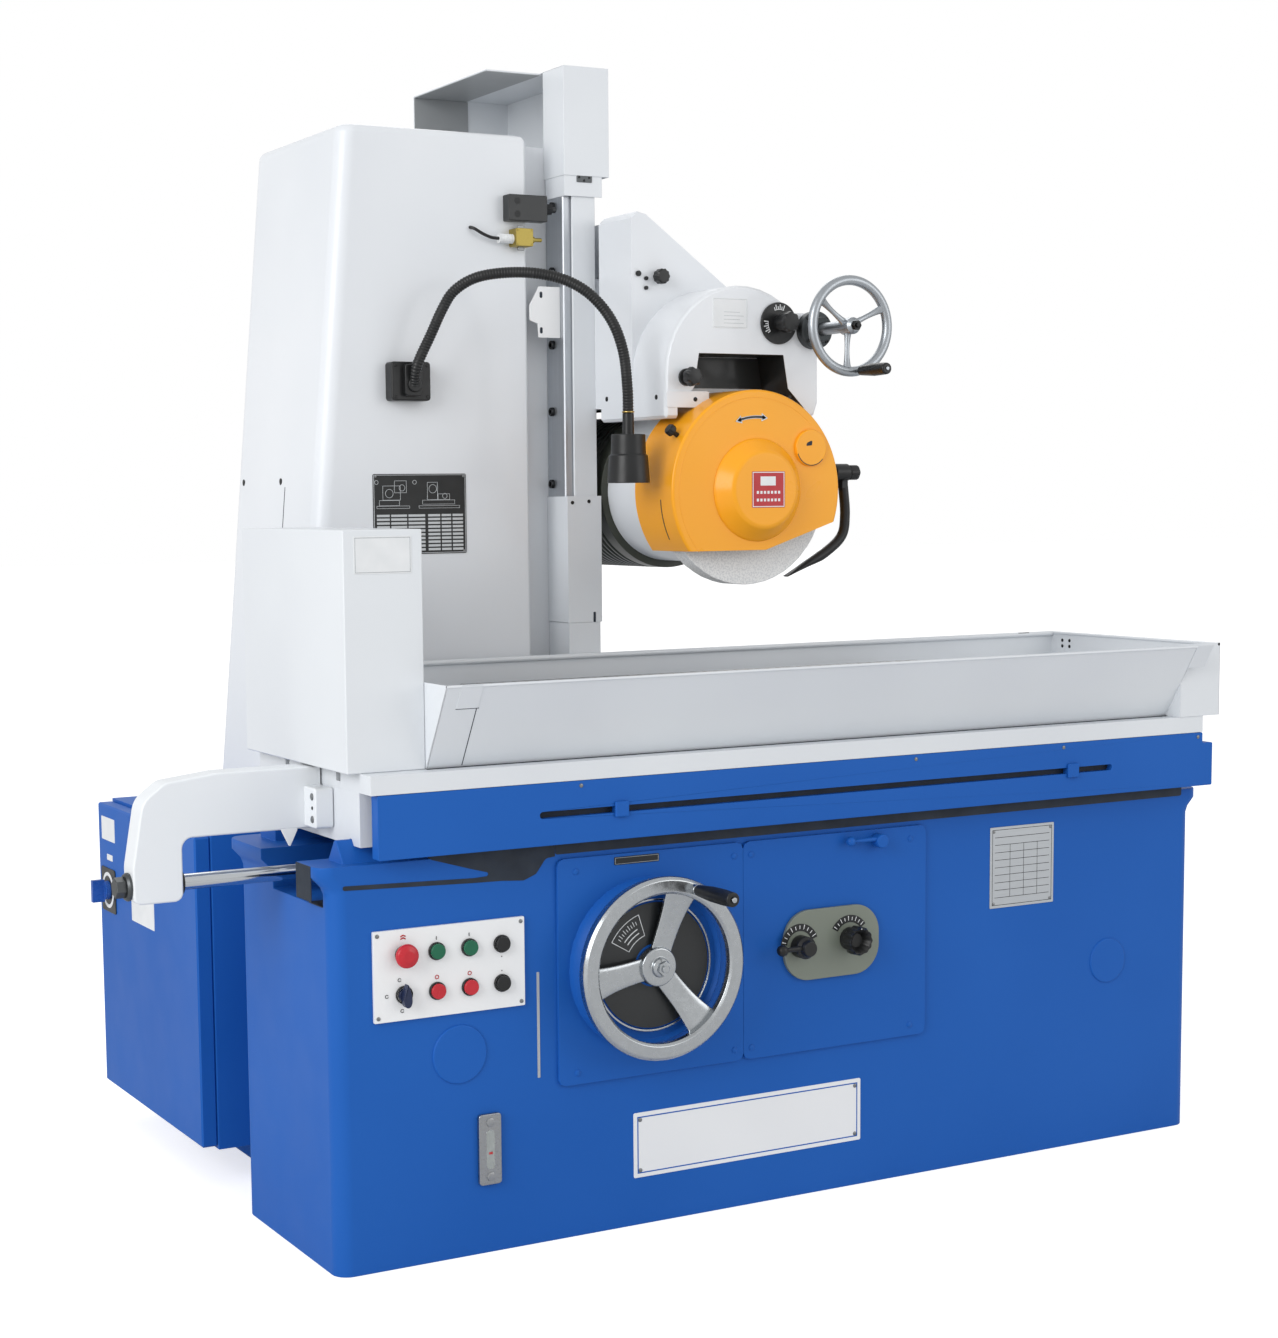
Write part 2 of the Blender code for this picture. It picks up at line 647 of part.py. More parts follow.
# ---------------------------------------------------------------- fittings on the column
def make_fittings():
    face = column_front - seat
    stop = block("head_stop_block", (-0.334, face - 0.025, 1.738), (-0.250, face, 1.785))
    join(soften(stop, 0.003), rod("stop_bumper", "X", (face - 0.010, 1.762), -0.255, -0.232, 0.010, 16))
    finish(stop, "black")
    switch = block("limit_switch", (-0.323, face - 0.030, 1.688), (-0.279, face, 1.728))
    join(soften(switch, 0.002),
         rod("switch_plunger", "X", (face - 0.014, 1.706), -0.281, -0.262, 0.004, 12),
         rod("switch_gland", "X", (face - 0.014, 1.706), -0.350, -0.321, 0.009, 16, 0.002))
    finish(switch, "brass")
    hole_x, hole_z = cable_hole
    route = [(-0.3503, face - 0.014, 1.706), (-0.365, face - 0.0145, 1.707), (-0.382, face - 0.0135, 1.713),
             (-0.396, face - 0.0095, 1.7215), (hole_x, face - 0.002, hole_z), (hole_x, face + 0.006, hole_z)]
    finish(pipe("limit_switch_cable", smooth_path(route, 5), 0.003, 2), "black")

    low, high = (-0.574, 1.412), (-0.498, 1.481)
    lamp = block("lamp_gooseneck", (low[0], face - 0.030, low[1]), (high[0], face, high[1]))
    join(soften(lamp, 0.004), rod("lamp_collar", "Y", (-0.535, 1.440), face - 0.046, face - 0.028, 0.014, 16))
    arch = [(-0.535, face - 0.040, 1.440), (-0.535, 0.205, 1.478), (-0.521, 0.196, 1.584), (-0.462, 0.160, 1.627),
            (-0.403, 0.118, 1.634), (-0.330, 0.070, 1.617), (-0.274, 0.032, 1.562), (-0.240, 0.008, 1.460),
            (-0.2362, 0.0012, 1.421), (-0.236, 0.0, 1.3833)]
    goose = sweep("gooseneck", smooth_path(arch, 4), 0.010, 10)
    finish(join(lamp, goose), "black")
    head = turned("lamp_head", "Z", (-0.236, 0.0), [
        (1.383, 0), (1.383, 0.012), (1.355, 0.014), (1.352, 0.030), (1.312, 0.031), (1.309, 0.0345),
        (1.262, 0.0375), (1.262, 0.034), (1.300, 0.026), (1.300, 0)], 28)
    finish(head, "black")


# ---------------------------------------------------------------- table
def make_table():
    underside = way_top - 0.010 + seat
    body_half = bed_depth / 2 - 0.012
    table = block("table_casting", (table_left, table_front, table_top - table_edge),
                  (table_right, table_back, table_top))
    join(table, block("table_body", (table_left + 0.0005, -body_half, underside),
                      (table_right - 0.0005, body_half, table_top - table_edge / 2)))
    far = (table_left - 0.1, table_right + 0.1)
    cut(table, prism("vee_groove", "X", vee(0.0006, way_top - vee_height - 0.010), *far))
    for y in tee_places:
        cut(table, block("tee_slot", (far[0], y - 0.009, table_top - 0.020), (far[1], y + 0.009, table_top + 0.1)))
    finish(table, "cream")

    skirt = block("table_front_skirt", (skirt_left, table_front, skirt_bottom),
                  (skirt_right, table_front + skirt_thick, table_top - table_edge - seat))
    shape = [(dog_slot[0], dog_slot_z - dog_slot_height / 2), (dog_slot[1], dog_slot_z + dog_slot_height / 2)]
    cut(skirt, block("dog_slot_mouth", (shape[0][0], table_front - 0.1, shape[0][1]),
                     (shape[1][0], table_front + 0.014, shape[1][1])))
    cut(skirt, block("dog_slot_tee", (shape[0][0], table_front + 0.007, shape[0][1] - 0.006),
                     (shape[1][0], table_front + 0.0135, shape[1][1] + 0.006)))
    finish(skirt, "blue")
    for name, x in zip(("left_trip_dog", "right_trip_dog"), dog_places):
        half = dog_slot_height / 2 - seat
        dog = block(name, (x - 0.013, table_front - 0.006, dog_slot_z - 0.013),
                    (x + 0.013, table_front - seat, dog_slot_z + 0.013), (x, table_front, dog_slot_z))
        join(soften(dog, 0.002),
             block("dog_neck", (x - 0.011, table_front - 0.003, dog_slot_z - half),
                   (x + 0.011, table_front + 0.012, dog_slot_z + half)),
             block("dog_tee", (x - 0.0105, table_front + 0.0075, dog_slot_z - half - 0.005),
                   (x + 0.0105, table_front + 0.0125, dog_slot_z + half + 0.005)))
        finish(dog, "blue")


def make_tray():
    floor = table_top + seat
    tray = prism("splash_tray", "X", [
        (tray_front_foot, floor), (tray_back, floor), (tray_back, tray_rim), (tray_front_rim, tray_rim)],
        tray_left, tray_right)
    cut(tray, prism("tray_room", "X", [
        (tray_front_foot + sheet, floor + sheet), (tray_back - sheet, floor + sheet),
        (tray_back - sheet, tray_rim + 0.1), (tray_front_rim + sheet - 0.058, tray_rim + 0.1)],
        tray_left + sheet, tray_right - sheet))
    finish(tray, "cream")
    box = block("splash_box", (box_left, box_front, floor), (tray_left - seat, tray_back - 0.003, box_top))
    soften(box, sheet * 0.7)
    cut(box, block("box_room", (box_left + sheet, box_front + sheet, floor - 0.1),
                   (tray_left - seat - sheet, tray_back - 0.003 - sheet, box_top - sheet)))
    finish(box, "cream")
    base = floor + sheet + seat
    chuck = block("magnetic_chuck", (-chuck_half_length, -chuck_half_depth, base),
                  (chuck_half_length, chuck_half_depth, base + chuck_height))
    finish(soften(chuck, 0.003), "steel")


def make_arm():
    right = table_left - seat
    back = arm_front + arm_thick
    leg_right = arm_left + arm_leg
    outline = [(right, arm_under), (right, arm_top), (arm_left + 0.120, arm_top), (arm_left + 0.030, arm_top - 0.014),
               (arm_left + 0.006, arm_top - 0.030), (arm_left, arm_top - 0.060), (arm_left + 0.004, arm_foot + 0.020),
               (arm_left + 0.022, arm_foot), (leg_right - 0.018, arm_foot), (leg_right, arm_foot + 0.020),
               (leg_right, arm_under - 0.016), (leg_right + 0.014, arm_under)]
    arm = prism("rod_arm", "Y", outline, arm_front, back)
    soften(arm, 0.006, 2, 60)
    join(arm, block("arm_flange", (right - 0.032, arm_front - 0.047, arm_under + 0.004),
                    (right, back + 0.047, table_top - table_edge - 0.002)))
    cut(arm, rod("arm_bore", "X", (rod_y, rod_z), arm_left - 0.1, leg_right + 0.1, rod_radius - 0.002 + seat, 20))
    finish(arm, "white")
    inner = rod_radius - 0.002
    piston = 0.120
    shaft = turned("piston_rod", "X", (rod_y, rod_z), [
        (arm_left - 0.030, 0), (arm_left - 0.030, inner), (leg_right + seat, inner), (leg_right + seat, rod_radius),
        (piston, rod_radius), (piston, 0.0315), (piston + 0.040, 0.0315), (piston + 0.040, 0)], 24)
    join(shaft, turned("rod_nut", "X", (rod_y, rod_z), [
        (arm_left - 0.024, 0), (arm_left - 0.024, 0.017), (arm_left - 0.007, 0.017), (arm_left - 0.007, 0)], 6))
    join(shaft, rod("rod_washer", "X", (rod_y, rod_z), arm_left - 0.008, arm_left - seat, 0.023, 24))
    finish(shaft, "steel")


# ---------------------------------------------------------------- saddle and what it carries
def saddle_outline():
    points = [(-saddle_half, saddle_foot)]
    reach = math.asin((shoulder_z - saddle_arc_z) / saddle_half)
    steps = 14
    for i in range(steps + 1):
        t = math.pi + (reach - math.pi) * i / steps
        points.append((saddle_half * math.cos(t), saddle_arc_z + saddle_half * math.sin(t)))
    return points + [(saddle_right, shoulder_z), (saddle_right, saddle_foot + 0.030),
                     (saddle_right - 0.008, saddle_foot + 0.008), (saddle_right - 0.026, saddle_foot)]


def make_saddle():
    saddle = prism("saddle_casting", "Y", saddle_outline(), saddle_front, saddle_flank_back)
    soften(saddle, 0.005, 1, 60)
    gusset = [(-saddle_half, saddle_arc_z - 0.02), (-saddle_half, gusset_top - 0.012),
              (-saddle_half + 0.012, gusset_top), (-saddle_half + 0.030, gusset_top - 0.004),
              (0.060, 1.606), (0.090, 1.500)]
    body = prism("saddle_rear", "Y", [(saddle_inner, saddle_foot + 0.001), (saddle_inner, 1.520),
                                      *[p for p in saddle_outline() if p[1] > 1.570 and p[0] > saddle_inner],
                                      (saddle_right - 0.001, shoulder_z - 0.001),
                                      (saddle_right - 0.001, saddle_foot + 0.030),
                                      (saddle_right - 0.009, saddle_foot + 0.009),
                                      (saddle_right - 0.027, saddle_foot + 0.001)],
                 saddle_flank_back - 0.01, saddle_back)
    join(saddle, prism("saddle_gusset", "Y", gusset, gusset_front, saddle_flank_back - 0.0005), body)
    join(saddle, prism("saddle_spine", "Y", [(saddle_inner, saddle_foot + 0.060), (saddle_inner, gusset_top - 0.004),
                                             (-0.100, gusset_top - 0.020), (0.055, 1.608), (0.080, 1.500)],
                       saddle_flank_back - 0.011, saddle_back - 0.001))
    for front in (rail_front, web_back):
        join(saddle, block("way_pad", (way_face + seat, front + 0.002, pad_low),
                           (saddle_inner + 0.02, front + rail_depth - 0.002, pad_high)))
    join(saddle, block("strip_lug", (-saddle_half + 0.001, saddle_flank_back - 0.010, pad_low),
                       (saddle_inner + 0.02, cover_front + sheet + 0.0022, pad_high - 0.040)))
    join(saddle, block("lift_nut", (screw_x - 0.024, screw_y - 0.034, 1.520),
                       (saddle_inner + 0.02, screw_y + 0.034, 1.570)))
    cut(saddle, rod("nut_bore", "Z", (screw_x, screw_y), 1.4, 1.7, screw_radius + seat, 20))
    inner = saddle_half - saddle_wall
    cut(saddle, prism("saddle_tunnel", "Y", [
        (-inner, saddle_foot - 0.1), (inner, saddle_foot - 0.1), (inner, saddle_foot + 0.020),
        (dovetail_half_low, tunnel_top), (dovetail_half_top, dovetail_top), (-dovetail_half_top, dovetail_top),
        (-dovetail_half_low, tunnel_top), (-inner, saddle_foot + 0.020)], saddle_front - 0.1, saddle_back + 0.1))
    bores = (("dial_bore", 0.077, 1.546, 0.0083, saddle_front), ("lock_bore", -0.118, 1.447, 0.0063, saddle_front),
             ("clamp_bore", -0.107, 1.632, 0.0063, gusset_front), ("feed_bore", cross_wheel_x, cross_wheel_z, 0.0113, saddle_front))
    for name, x, z, radius, face in bores:
        cut(saddle, rod(name, "Y", (x, z), face - 0.05, face + 0.030, radius, 16))
    finish(saddle, "cream")

    strip = block("way_cover_strip", (rail_left + 0.023, cover_front + sheet + 0.0025, 1.090),
                  (way_face, rail_front - 0.0015, 1.885))
    finish(strip, "cream")

    dial = turned("feed_dial_knob", "Y", (0.077, 1.546), [
        (saddle_front - 0.046, 0), (saddle_front - 0.046, 0.014), (saddle_front - 0.042, 0.017),
        (saddle_front - 0.010, 0.019), (saddle_front - 0.006, 0.0375), (saddle_front - seat, 0.0375),
        (saddle_front - seat, 0.008), (saddle_front + 0.025, 0.008), (saddle_front + 0.025, 0)], 32)
    finish(dial, "black")
    lock = turned("way_lock_knob", "Y", (-0.118, 1.447), [
        (saddle_front - 0.034, 0), (saddle_front - 0.034, 0.012), (saddle_front - 0.031, 0.0155),
        (saddle_front - 0.020, 0.0155), (saddle_front - 0.016, 0.009), (saddle_front - 0.012, 0.009),
        (saddle_front - 0.009, 0.0175), (saddle_front - seat, 0.0175), (saddle_front - seat, 0.006),
        (saddle_front + 0.025, 0.006), (saddle_front + 0.025, 0)], 20)
    finish(lock, "black")
    clamp = turned("gusset_clamp_knob", "Y", (-0.107, 1.632), [
        (gusset_front - 0.026, 0), (gusset_front - 0.026, 0.011), (gusset_front - 0.022, 0.014),
        (gusset_front - 0.012, 0.014), (gusset_front - 0.009, 0.008), (gusset_front - seat, 0.008),
        (gusset_front - seat, 0.006), (gusset_front + 0.025, 0.006), (gusset_front + 0.025, 0)], 20)
    finish(clamp, "black")


def make_cross_feed():
    x, z = cross_wheel_x, cross_wheel_z
    bracket = turned("cross_feed_flange", "Y", (x, z), [
        (saddle_front - 0.036, 0.0113), (saddle_front - 0.036, 0.022), (saddle_front - 0.020, 0.024),
        (saddle_front - 0.018, 0.034), (saddle_front - seat, 0.034), (saddle_front - seat, 0.0113)], 24)
    finish(bracket, "black")
    rim_radius = 0.0078
    wheel = turned("cross_handwheel", "Y", (x, z), [
        (cross_wheel_y + rim_radius * math.sin(t), cross_wheel_radius - rim_radius + rim_radius * math.cos(t))
        for t in (math.radians(60 * k) for k in range(6))], 32, (x, cross_wheel_y, z))
    shaft = turned("cross_shaft", "Y", (x, z), [
        (cross_wheel_y - 0.016, 0), (cross_wheel_y - 0.016, 0.010), (cross_wheel_y - 0.012, 0.015),
        (cross_wheel_y + 0.018, 0.015), (cross_wheel_y + 0.020, 0.011), (saddle_front + 0.026, 0.011),
        (saddle_front + 0.026, 0)], 20)
    join(wheel, shaft)
    for degrees in (25, 145, 265):
        t = math.radians(degrees)
        far = cross_wheel_radius - 0.008
        ends = [(x + 0.006 * math.cos(t), cross_wheel_y + 0.004, z + 0.006 * math.sin(t)),
                (x + far * math.cos(t), cross_wheel_y, z + far * math.sin(t))]
        join(wheel, sweep("cross_spoke", ends, 0.005, 8))
    t = math.radians(-80)
    hx, hz = x + (cross_wheel_radius - rim_radius) * math.cos(t), z + (cross_wheel_radius - rim_radius) * math.sin(t)
    join(wheel, rod("cross_handle_pin", "Y", (hx, hz), cross_wheel_y - 0.094, cross_wheel_y, 0.0035, 12))
    finish(wheel, "steel")
    front = cross_wheel_y - rim_radius
    grip = turned("cross_handle", "Y", (hx, hz), [
        (front - 0.083, 0.0038), (front - 0.083, 0.009), (front - 0.078, 0.0105), (front - 0.040, 0.0115),
        (front - 0.010, 0.009), (front - 0.004, 0.009), (front - 0.004, 0.0038)], 20)
    finish(grip, "black")


def make_lift_wheel():
    x, z = lift_wheel_x, lift_wheel_z
    front = lift_wheel_front
    r = lift_wheel_radius
    wheel = turned("lift_handwheel", "Y", (x, z), [
        (front + 0.004, r - 0.030), (front, r - 0.026), (front, r - 0.005), (front + 0.005, r),
        (front + 0.024, r - 0.003), (front + 0.030, r - 0.012), (front + 0.026, r - 0.024),
        (front + 0.014, r - 0.030)], 36, (x, front, z))
    hub = turned("lift_hub", "Y", (x, z), [
        (front + 0.012, 0), (front + 0.012, 0.014), (front + 0.018, 0.016), (front + 0.022, 0.034),
        (boss_front - seat, 0.034), (boss_front - seat, 0.016), (bed_front - 0.001, 0.016),
        (bed_front - 0.001, 0)], 28)
    join(wheel, hub)
    for degrees in (-52, 72, 188):
        t = math.radians(degrees)
        across = Vector((-math.sin(t), 0, math.cos(t)))
        out = Vector((math.cos(t), 0, math.sin(t)))
        shape = bmesh.new()
        rings = []
        for reach, half, y in ((0.010, 0.020, front + 0.034), (r - 0.020, 0.030, front + 0.020)):
            base = Vector((x, 0, z)) + out * reach
            rings.append([shape.verts.new(base + across * s * half + Vector((0, y + d, 0)))
                          for s, d in ((-1, -0.0045), (1, -0.0045), (1, 0.0045), (-1, 0.0045))])
        shape.faces.new(rings[0])
        shape.faces.new(rings[1])
        for i in range(4):
            j = (i + 1) % 4
            shape.faces.new((rings[0][i], rings[0][j], rings[1][j], rings[1][i]))
        join(wheel, solid("lift_spoke", shape))
    t = math.radians(68)
    hx, hz = x + (r - 0.015) * math.cos(t), z + (r - 0.015) * math.sin(t)
    join(wheel, rod("lift_handle_pin", "Y", (hx, hz), front - 0.128, front + 0.01, 0.0048, 12))
    join(wheel, rod("lift_handle_collar", "Y", (hx, hz), front - 0.014, front + 0.004, 0.009, 16, 0.001))
    finish(wheel, "steel")
    grip = turned("lift_handle", "Y", (hx, hz), [
        (front - 0.124, 0.0051), (front - 0.124, 0.011), (front - 0.118, 0.0135), (front - 0.070, 0.0135),
        (front - 0.022, 0.010), (front - 0.0145, 0.010), (front - 0.0145, 0.0051)], 20)
    finish(grip, "black")


# ---------------------------------------------------------------- wheelhead
def make_head():
    centre = (0.0, spindle_z)
    bore = spindle_radius + seat
    head = turned("wheelhead_casting", "Y", centre, [
        (guard_back + seat, bore), (guard_back + seat, housing_radius - 0.004),
        (guard_back + 0.005, housing_radius), (housing_back, housing_radius), (housing_back, bore)], 40)
    top = dovetail_top - seat
    low_half, top_half = dovetail_half_low - 0.001, dovetail_half_top - 0.001
    slope = (low_half - top_half) / (dovetail_top - tunnel_top)
    slide = [(-low_half - slope * 0.02, tunnel_top - 0.020), (low_half + slope * 0.02, tunnel_top - 0.020),
             (top_half, top), (-top_half, top)]
    join(head, prism("head_slide", "Y", slide, guard_back + 0.004, motor_back - 0.020))
    join(head, block("head_neck", (-0.080, guard_back + 0.0045, spindle_z + 0.100),
                     (0.080, housing_back - 0.001, tunnel_top - 0.010)))
    finish(head, "cream")
    motor = turned("motor_housing", "Y", centre, [
        (motor_back - 0.085, 0), (motor_back - 0.085, bore), (housing_back + seat, bore),
        (housing_back + seat, motor_radius - 0.004), (housing_back + 0.005, motor_radius),
        (motor_back - 0.050, motor_radius), (motor_back - 0.048, motor_radius - 0.008),
        (motor_back - 0.010, motor_radius - 0.008), (motor_back, motor_radius - 0.025), (motor_back, 0)], 36)
    finish(motor, "iron")
    back = wheel_front + wheel_width
    spindle = turned("spindle", "Y", centre, [
        (wheel_front - 0.030, 0), (wheel_front - 0.030, 0.024), (wheel_front - 0.012, 0.026),
        (wheel_front - 0.012, 0.055), (wheel_front - 0.010, 0.088), (wheel_front - seat, 0.090),
        (wheel_front - seat, wheel_bore - seat), (back + seat, wheel_bore - seat), (back + seat, 0.090),
        (back + 0.012, 0.085), (back + 0.014, spindle_radius), (motor_back - 0.090, spindle_radius),
        (motor_back - 0.090, 0.0)], 28)
    finish(spindle, "steel")
    wheel = turned("grinding_wheel", "Y", centre, [
        (wheel_front, wheel_bore), (wheel_front, wheel_radius - 0.001), (wheel_front + 0.001, wheel_radius),
        (back - 0.001, wheel_radius), (back, wheel_radius - 0.001), (back, wheel_bore)], 44)
    finish(wheel, "abrasive")


def make_guard():
    centre = (0.0, spindle_z)
    inner = guard_radius - guard_sheet
    guard = turned("wheel_guard", "Y", centre, [
        (guard_front, 0), (guard_front, guard_radius - 0.007), (guard_front + 0.002, guard_radius - 0.002),
        (guard_front + 0.007, guard_radius), (guard_back, guard_radius), (guard_back, 0.085),
        (guard_back - guard_sheet, 0.085), (guard_back - guard_sheet, inner), (guard_front + 0.007, inner),
        (guard_front + guard_sheet, inner - 0.005), (guard_front + guard_sheet, 0)], 44)
    cut(guard, prism("guard_mouth", "Y", [
        (-0.3, guard_foot), (0.018, guard_foot), (0.3, guard_foot + 0.092), (0.3, 0.9), (-0.3, 0.9)], -0.2, 0.2))
    join(guard, rod("guard_plug", "Y", (0.113, 1.322), guard_front - 0.006, guard_front + 0.002, 0.033, 28, 0.001))
    angle = math.radians(147)
    knob_y = -0.022
    out = Vector((math.cos(angle), 0, math.sin(angle)))
    foot = Vector((0, knob_y, spindle_z)) + out * guard_radius
    finish(guard, "yellow")

    hub = turned("guard_hub_cover", "Y", centre, [
        (guard_front - seat - hub_height, 0), (guard_front - seat - hub_height, hub_nose_radius),
        (guard_front - seat - hub_height + 0.003, hub_nose_radius + 0.008),
        (guard_front - seat - 0.006, hub_radius - 0.004), (guard_front - seat, hub_radius),
        (guard_front - seat, 0)], 40)
    finish(hub, "yellow")

    turn = out.to_track_quat("Z", "Y").to_matrix().to_4x4()
    stem = bmesh.new()
    place = Matrix.Translation(foot + out * 0.0066) @ turn
    bmesh.ops.create_cone(stem, cap_ends=True, segments=16, radius1=0.0045, radius2=0.0045, depth=0.012,
                          matrix=place)
    knob = solid("guard_lock_knob", stem, foot)
    cap = bmesh.new()
    place = Matrix.Translation(foot + out * 0.017) @ turn
    bmesh.ops.create_cone(cap, cap_ends=True, segments=16, radius1=0.0105, radius2=0.009, depth=0.013,
                          matrix=place)
    join(knob, solid("lock_knob_cap", cap))
    finish(knob, "black")


def make_coolant():
    y = 0.008
    left = guard_radius + 0.0006
    valve = block("coolant_valve", (left, y - 0.018, 1.240), (left + 0.022, y + 0.018, 1.292))
    soften(valve, 0.003)
    join(valve, rod("valve_barrel", "X", (y, 1.278), left + 0.018, left + 0.058, 0.0165, 20, 0.001))
    route = [(left + 0.046, y, 1.272), (left + 0.050, y, 1.245), (left + 0.0535, y, 1.200), (left + 0.046, y, 1.162),
             (left + 0.010, y, 1.132), (left - 0.040, y, 1.108), (left - 0.078, y, 1.090)]
    join(valve, sweep("nozzle_pipe", smooth_path(route, 3), 0.0095, 10))
    finish(valve, "black")
    x = left + 0.058
    tap = rod("coolant_tap", "X", (y, 1.278), x + seat, x + 0.022, 0.0150, 20, 0.002)
    finish(tap, "black")


make_bed()
make_column()
make_covers()
make_front()
make_panel()
make_valves()
make_cabinet()
make_fittings()
make_table()
make_tray()
make_arm()
make_saddle()
make_cross_feed()
make_lift_wheel()
make_head()
make_guard()
make_coolant()
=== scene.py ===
import json
import math

import bmesh
import bpy
import numpy as np
from mathutils import Matrix, Vector


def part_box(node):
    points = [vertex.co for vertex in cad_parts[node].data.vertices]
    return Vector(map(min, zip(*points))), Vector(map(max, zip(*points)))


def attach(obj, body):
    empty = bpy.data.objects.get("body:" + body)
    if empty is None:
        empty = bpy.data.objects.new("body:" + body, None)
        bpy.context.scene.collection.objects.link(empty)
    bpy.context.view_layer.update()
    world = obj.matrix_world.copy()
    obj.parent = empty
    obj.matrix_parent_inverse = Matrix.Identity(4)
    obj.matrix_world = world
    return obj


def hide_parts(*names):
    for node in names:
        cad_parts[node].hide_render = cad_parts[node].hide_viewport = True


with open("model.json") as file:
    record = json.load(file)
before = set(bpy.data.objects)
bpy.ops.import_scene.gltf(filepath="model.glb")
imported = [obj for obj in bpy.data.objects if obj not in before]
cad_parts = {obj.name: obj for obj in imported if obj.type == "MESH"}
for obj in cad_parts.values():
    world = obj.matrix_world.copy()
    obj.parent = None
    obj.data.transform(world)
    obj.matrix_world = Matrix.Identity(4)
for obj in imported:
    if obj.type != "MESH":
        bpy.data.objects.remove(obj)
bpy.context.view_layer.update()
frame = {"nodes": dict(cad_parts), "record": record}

# Surface grinder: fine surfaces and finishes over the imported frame. Metres, +Z up, -Y is the operator's side.
nodeBody = {node: body for body, nodes in frame["record"]["behaviour"]["bodies"].items() for node in nodes}
nodeSlot = {part["node"]: part["material_slot"] for part in frame["record"]["subparts"]}
print("frame loaded:", len(nodeBody), "nodes")


# shapes: a shape is (points as an N x 3 array, faces as lists of point numbers)
def filleted(points, radius, steps=6, closed=True):
    # Each corner p becomes a circular arc that touches both edges: tangent length t = r * tan(turn / 2).
    points = np.asarray(points, float)
    count = len(points)
    radii = np.broadcast_to(np.asarray(radius, float), (count,))
    out = []
    for i in range(count):
        p = points[i]
        if (not closed and i in (0, count - 1)) or radii[i] <= 0:
            out.append(p)
            continue
        a, b = points[i - 1] - p, points[(i + 1) % count] - p
        la, lb = np.linalg.norm(a), np.linalg.norm(b)
        a, b = a / la, b / lb
        half = math.acos(float(np.clip(a @ b, -1, 1))) / 2
        if half > math.radians(88):
            out.append(p)
            continue
        t = min(radii[i] / math.tan(half), la * 0.49, lb * 0.49)
        r = t * math.tan(half)
        middle = (a + b) / np.linalg.norm(a + b)
        centre = p + middle * r / math.sin(half)
        start, end = p + a * t - centre, p + b * t - centre
        sweep = math.pi - 2 * half
        share = np.linspace(0, 1, steps + 1)[:, None]
        arc = (np.sin((1 - share) * sweep) * start + np.sin(share * sweep) * end) / math.sin(sweep)
        out.extend(centre + arc)
    return np.array(out)


def inset(outline, distance):
    # Every point moves along its corner's bisector by distance / cos(half turn), towards the inside.
    before, after = np.roll(outline, 1, 0), np.roll(outline, -1, 0)
    e1, e2 = outline - before, after - outline
    e1 = e1 / np.maximum(np.linalg.norm(e1, axis=1, keepdims=True), 1e-12)
    e2 = e2 / np.maximum(np.linalg.norm(e2, axis=1, keepdims=True), 1e-12)
    x, y = outline[:, 0], outline[:, 1]
    side = 1.0 if np.sum(x * np.roll(y, -1) - y * np.roll(x, -1)) > 0 else -1.0
    n1, n2 = (np.stack([-e[:, 1], e[:, 0]], 1) * side for e in (e1, e2))
    bisector = n1 + n2
    size = np.maximum(np.sum(bisector * bisector, 1, keepdims=True) / 2, 0.3)
    return outline + bisector / size * distance


def onAxis(axis, across, along):
    # Puts (u, v) across and w along the axis: Y gives (u, w, v), X gives (w, u, v), Z gives (u, v, w).
    u, v = across[..., 0], across[..., 1]
    w = np.broadcast_to(along, u.shape)
    order = {"X": (w, u, v), "Y": (u, w, v), "Z": (u, v, w)}[axis]
    return np.stack(order, -1)


def rings(grid, closeAround=True, closeAlong=False, caps=(True, True)):
    # A skin over a rows x columns grid of points: quads join each row to the next, caps close both ends.
    rows, columns = grid.shape[:2]
    i = np.arange(rows if closeAlong else rows - 1)[:, None]
    j = np.arange(columns if closeAround else columns - 1)[None, :]
    k, m = (i + 1) % rows, (j + 1) % columns
    quads = np.stack([i * columns + j, i * columns + m, k * columns + m, k * columns + j], -1).reshape(-1, 4)
    faces = quads.tolist()
    if not closeAlong and closeAround:
        if caps[0]:
            faces.append(list(range(columns))[::-1])
        if caps[1]:
            faces.append(list(range((rows - 1) * columns, rows * columns)))
    return grid.reshape(-1, 3), faces


def turned(axis, centre, profile, steps=64, lobes=None):
    # A profile of (along, radius) carried round the axis; lobes = (count, depth) waves the radius by cos(n t).
    profile = np.asarray(profile, float)
    t = np.arange(steps) * 2 * math.pi / steps
    radius = np.repeat(profile[:, 1:2], steps, 1)
    if lobes:
        radius = radius - lobes[1] * (0.5 - 0.5 * np.cos(lobes[0] * t))[None, :] * (profile[:, 2:3] if
                                                                                   profile.shape[1] > 2 else 1)
    across = np.stack([centre[0] + radius * np.cos(t), centre[1] + radius * np.sin(t)], -1)
    grid = onAxis(axis, across, profile[:, :1])
    return rings(grid)


def slab(axis, outline, start, end, edge=0.001, steps=2):
    # An outline carried from start to end, its rims rounded by quarter circles of radius edge.
    outline = np.asarray(outline, float)
    a = np.linspace(0, math.pi / 2, steps + 1)
    low, high = min(start, end), max(start, end)
    offsets = np.concatenate([edge * (1 - np.sin(a)), (edge * (1 - np.sin(a)))[::-1]])
    places = np.concatenate([low + edge * (1 - np.cos(a)), (high - edge * (1 - np.cos(a)))[::-1]])
    grid = np.stack([onAxis(axis, inset(outline, d), w) for d, w in zip(offsets, places)])
    return rings(grid)


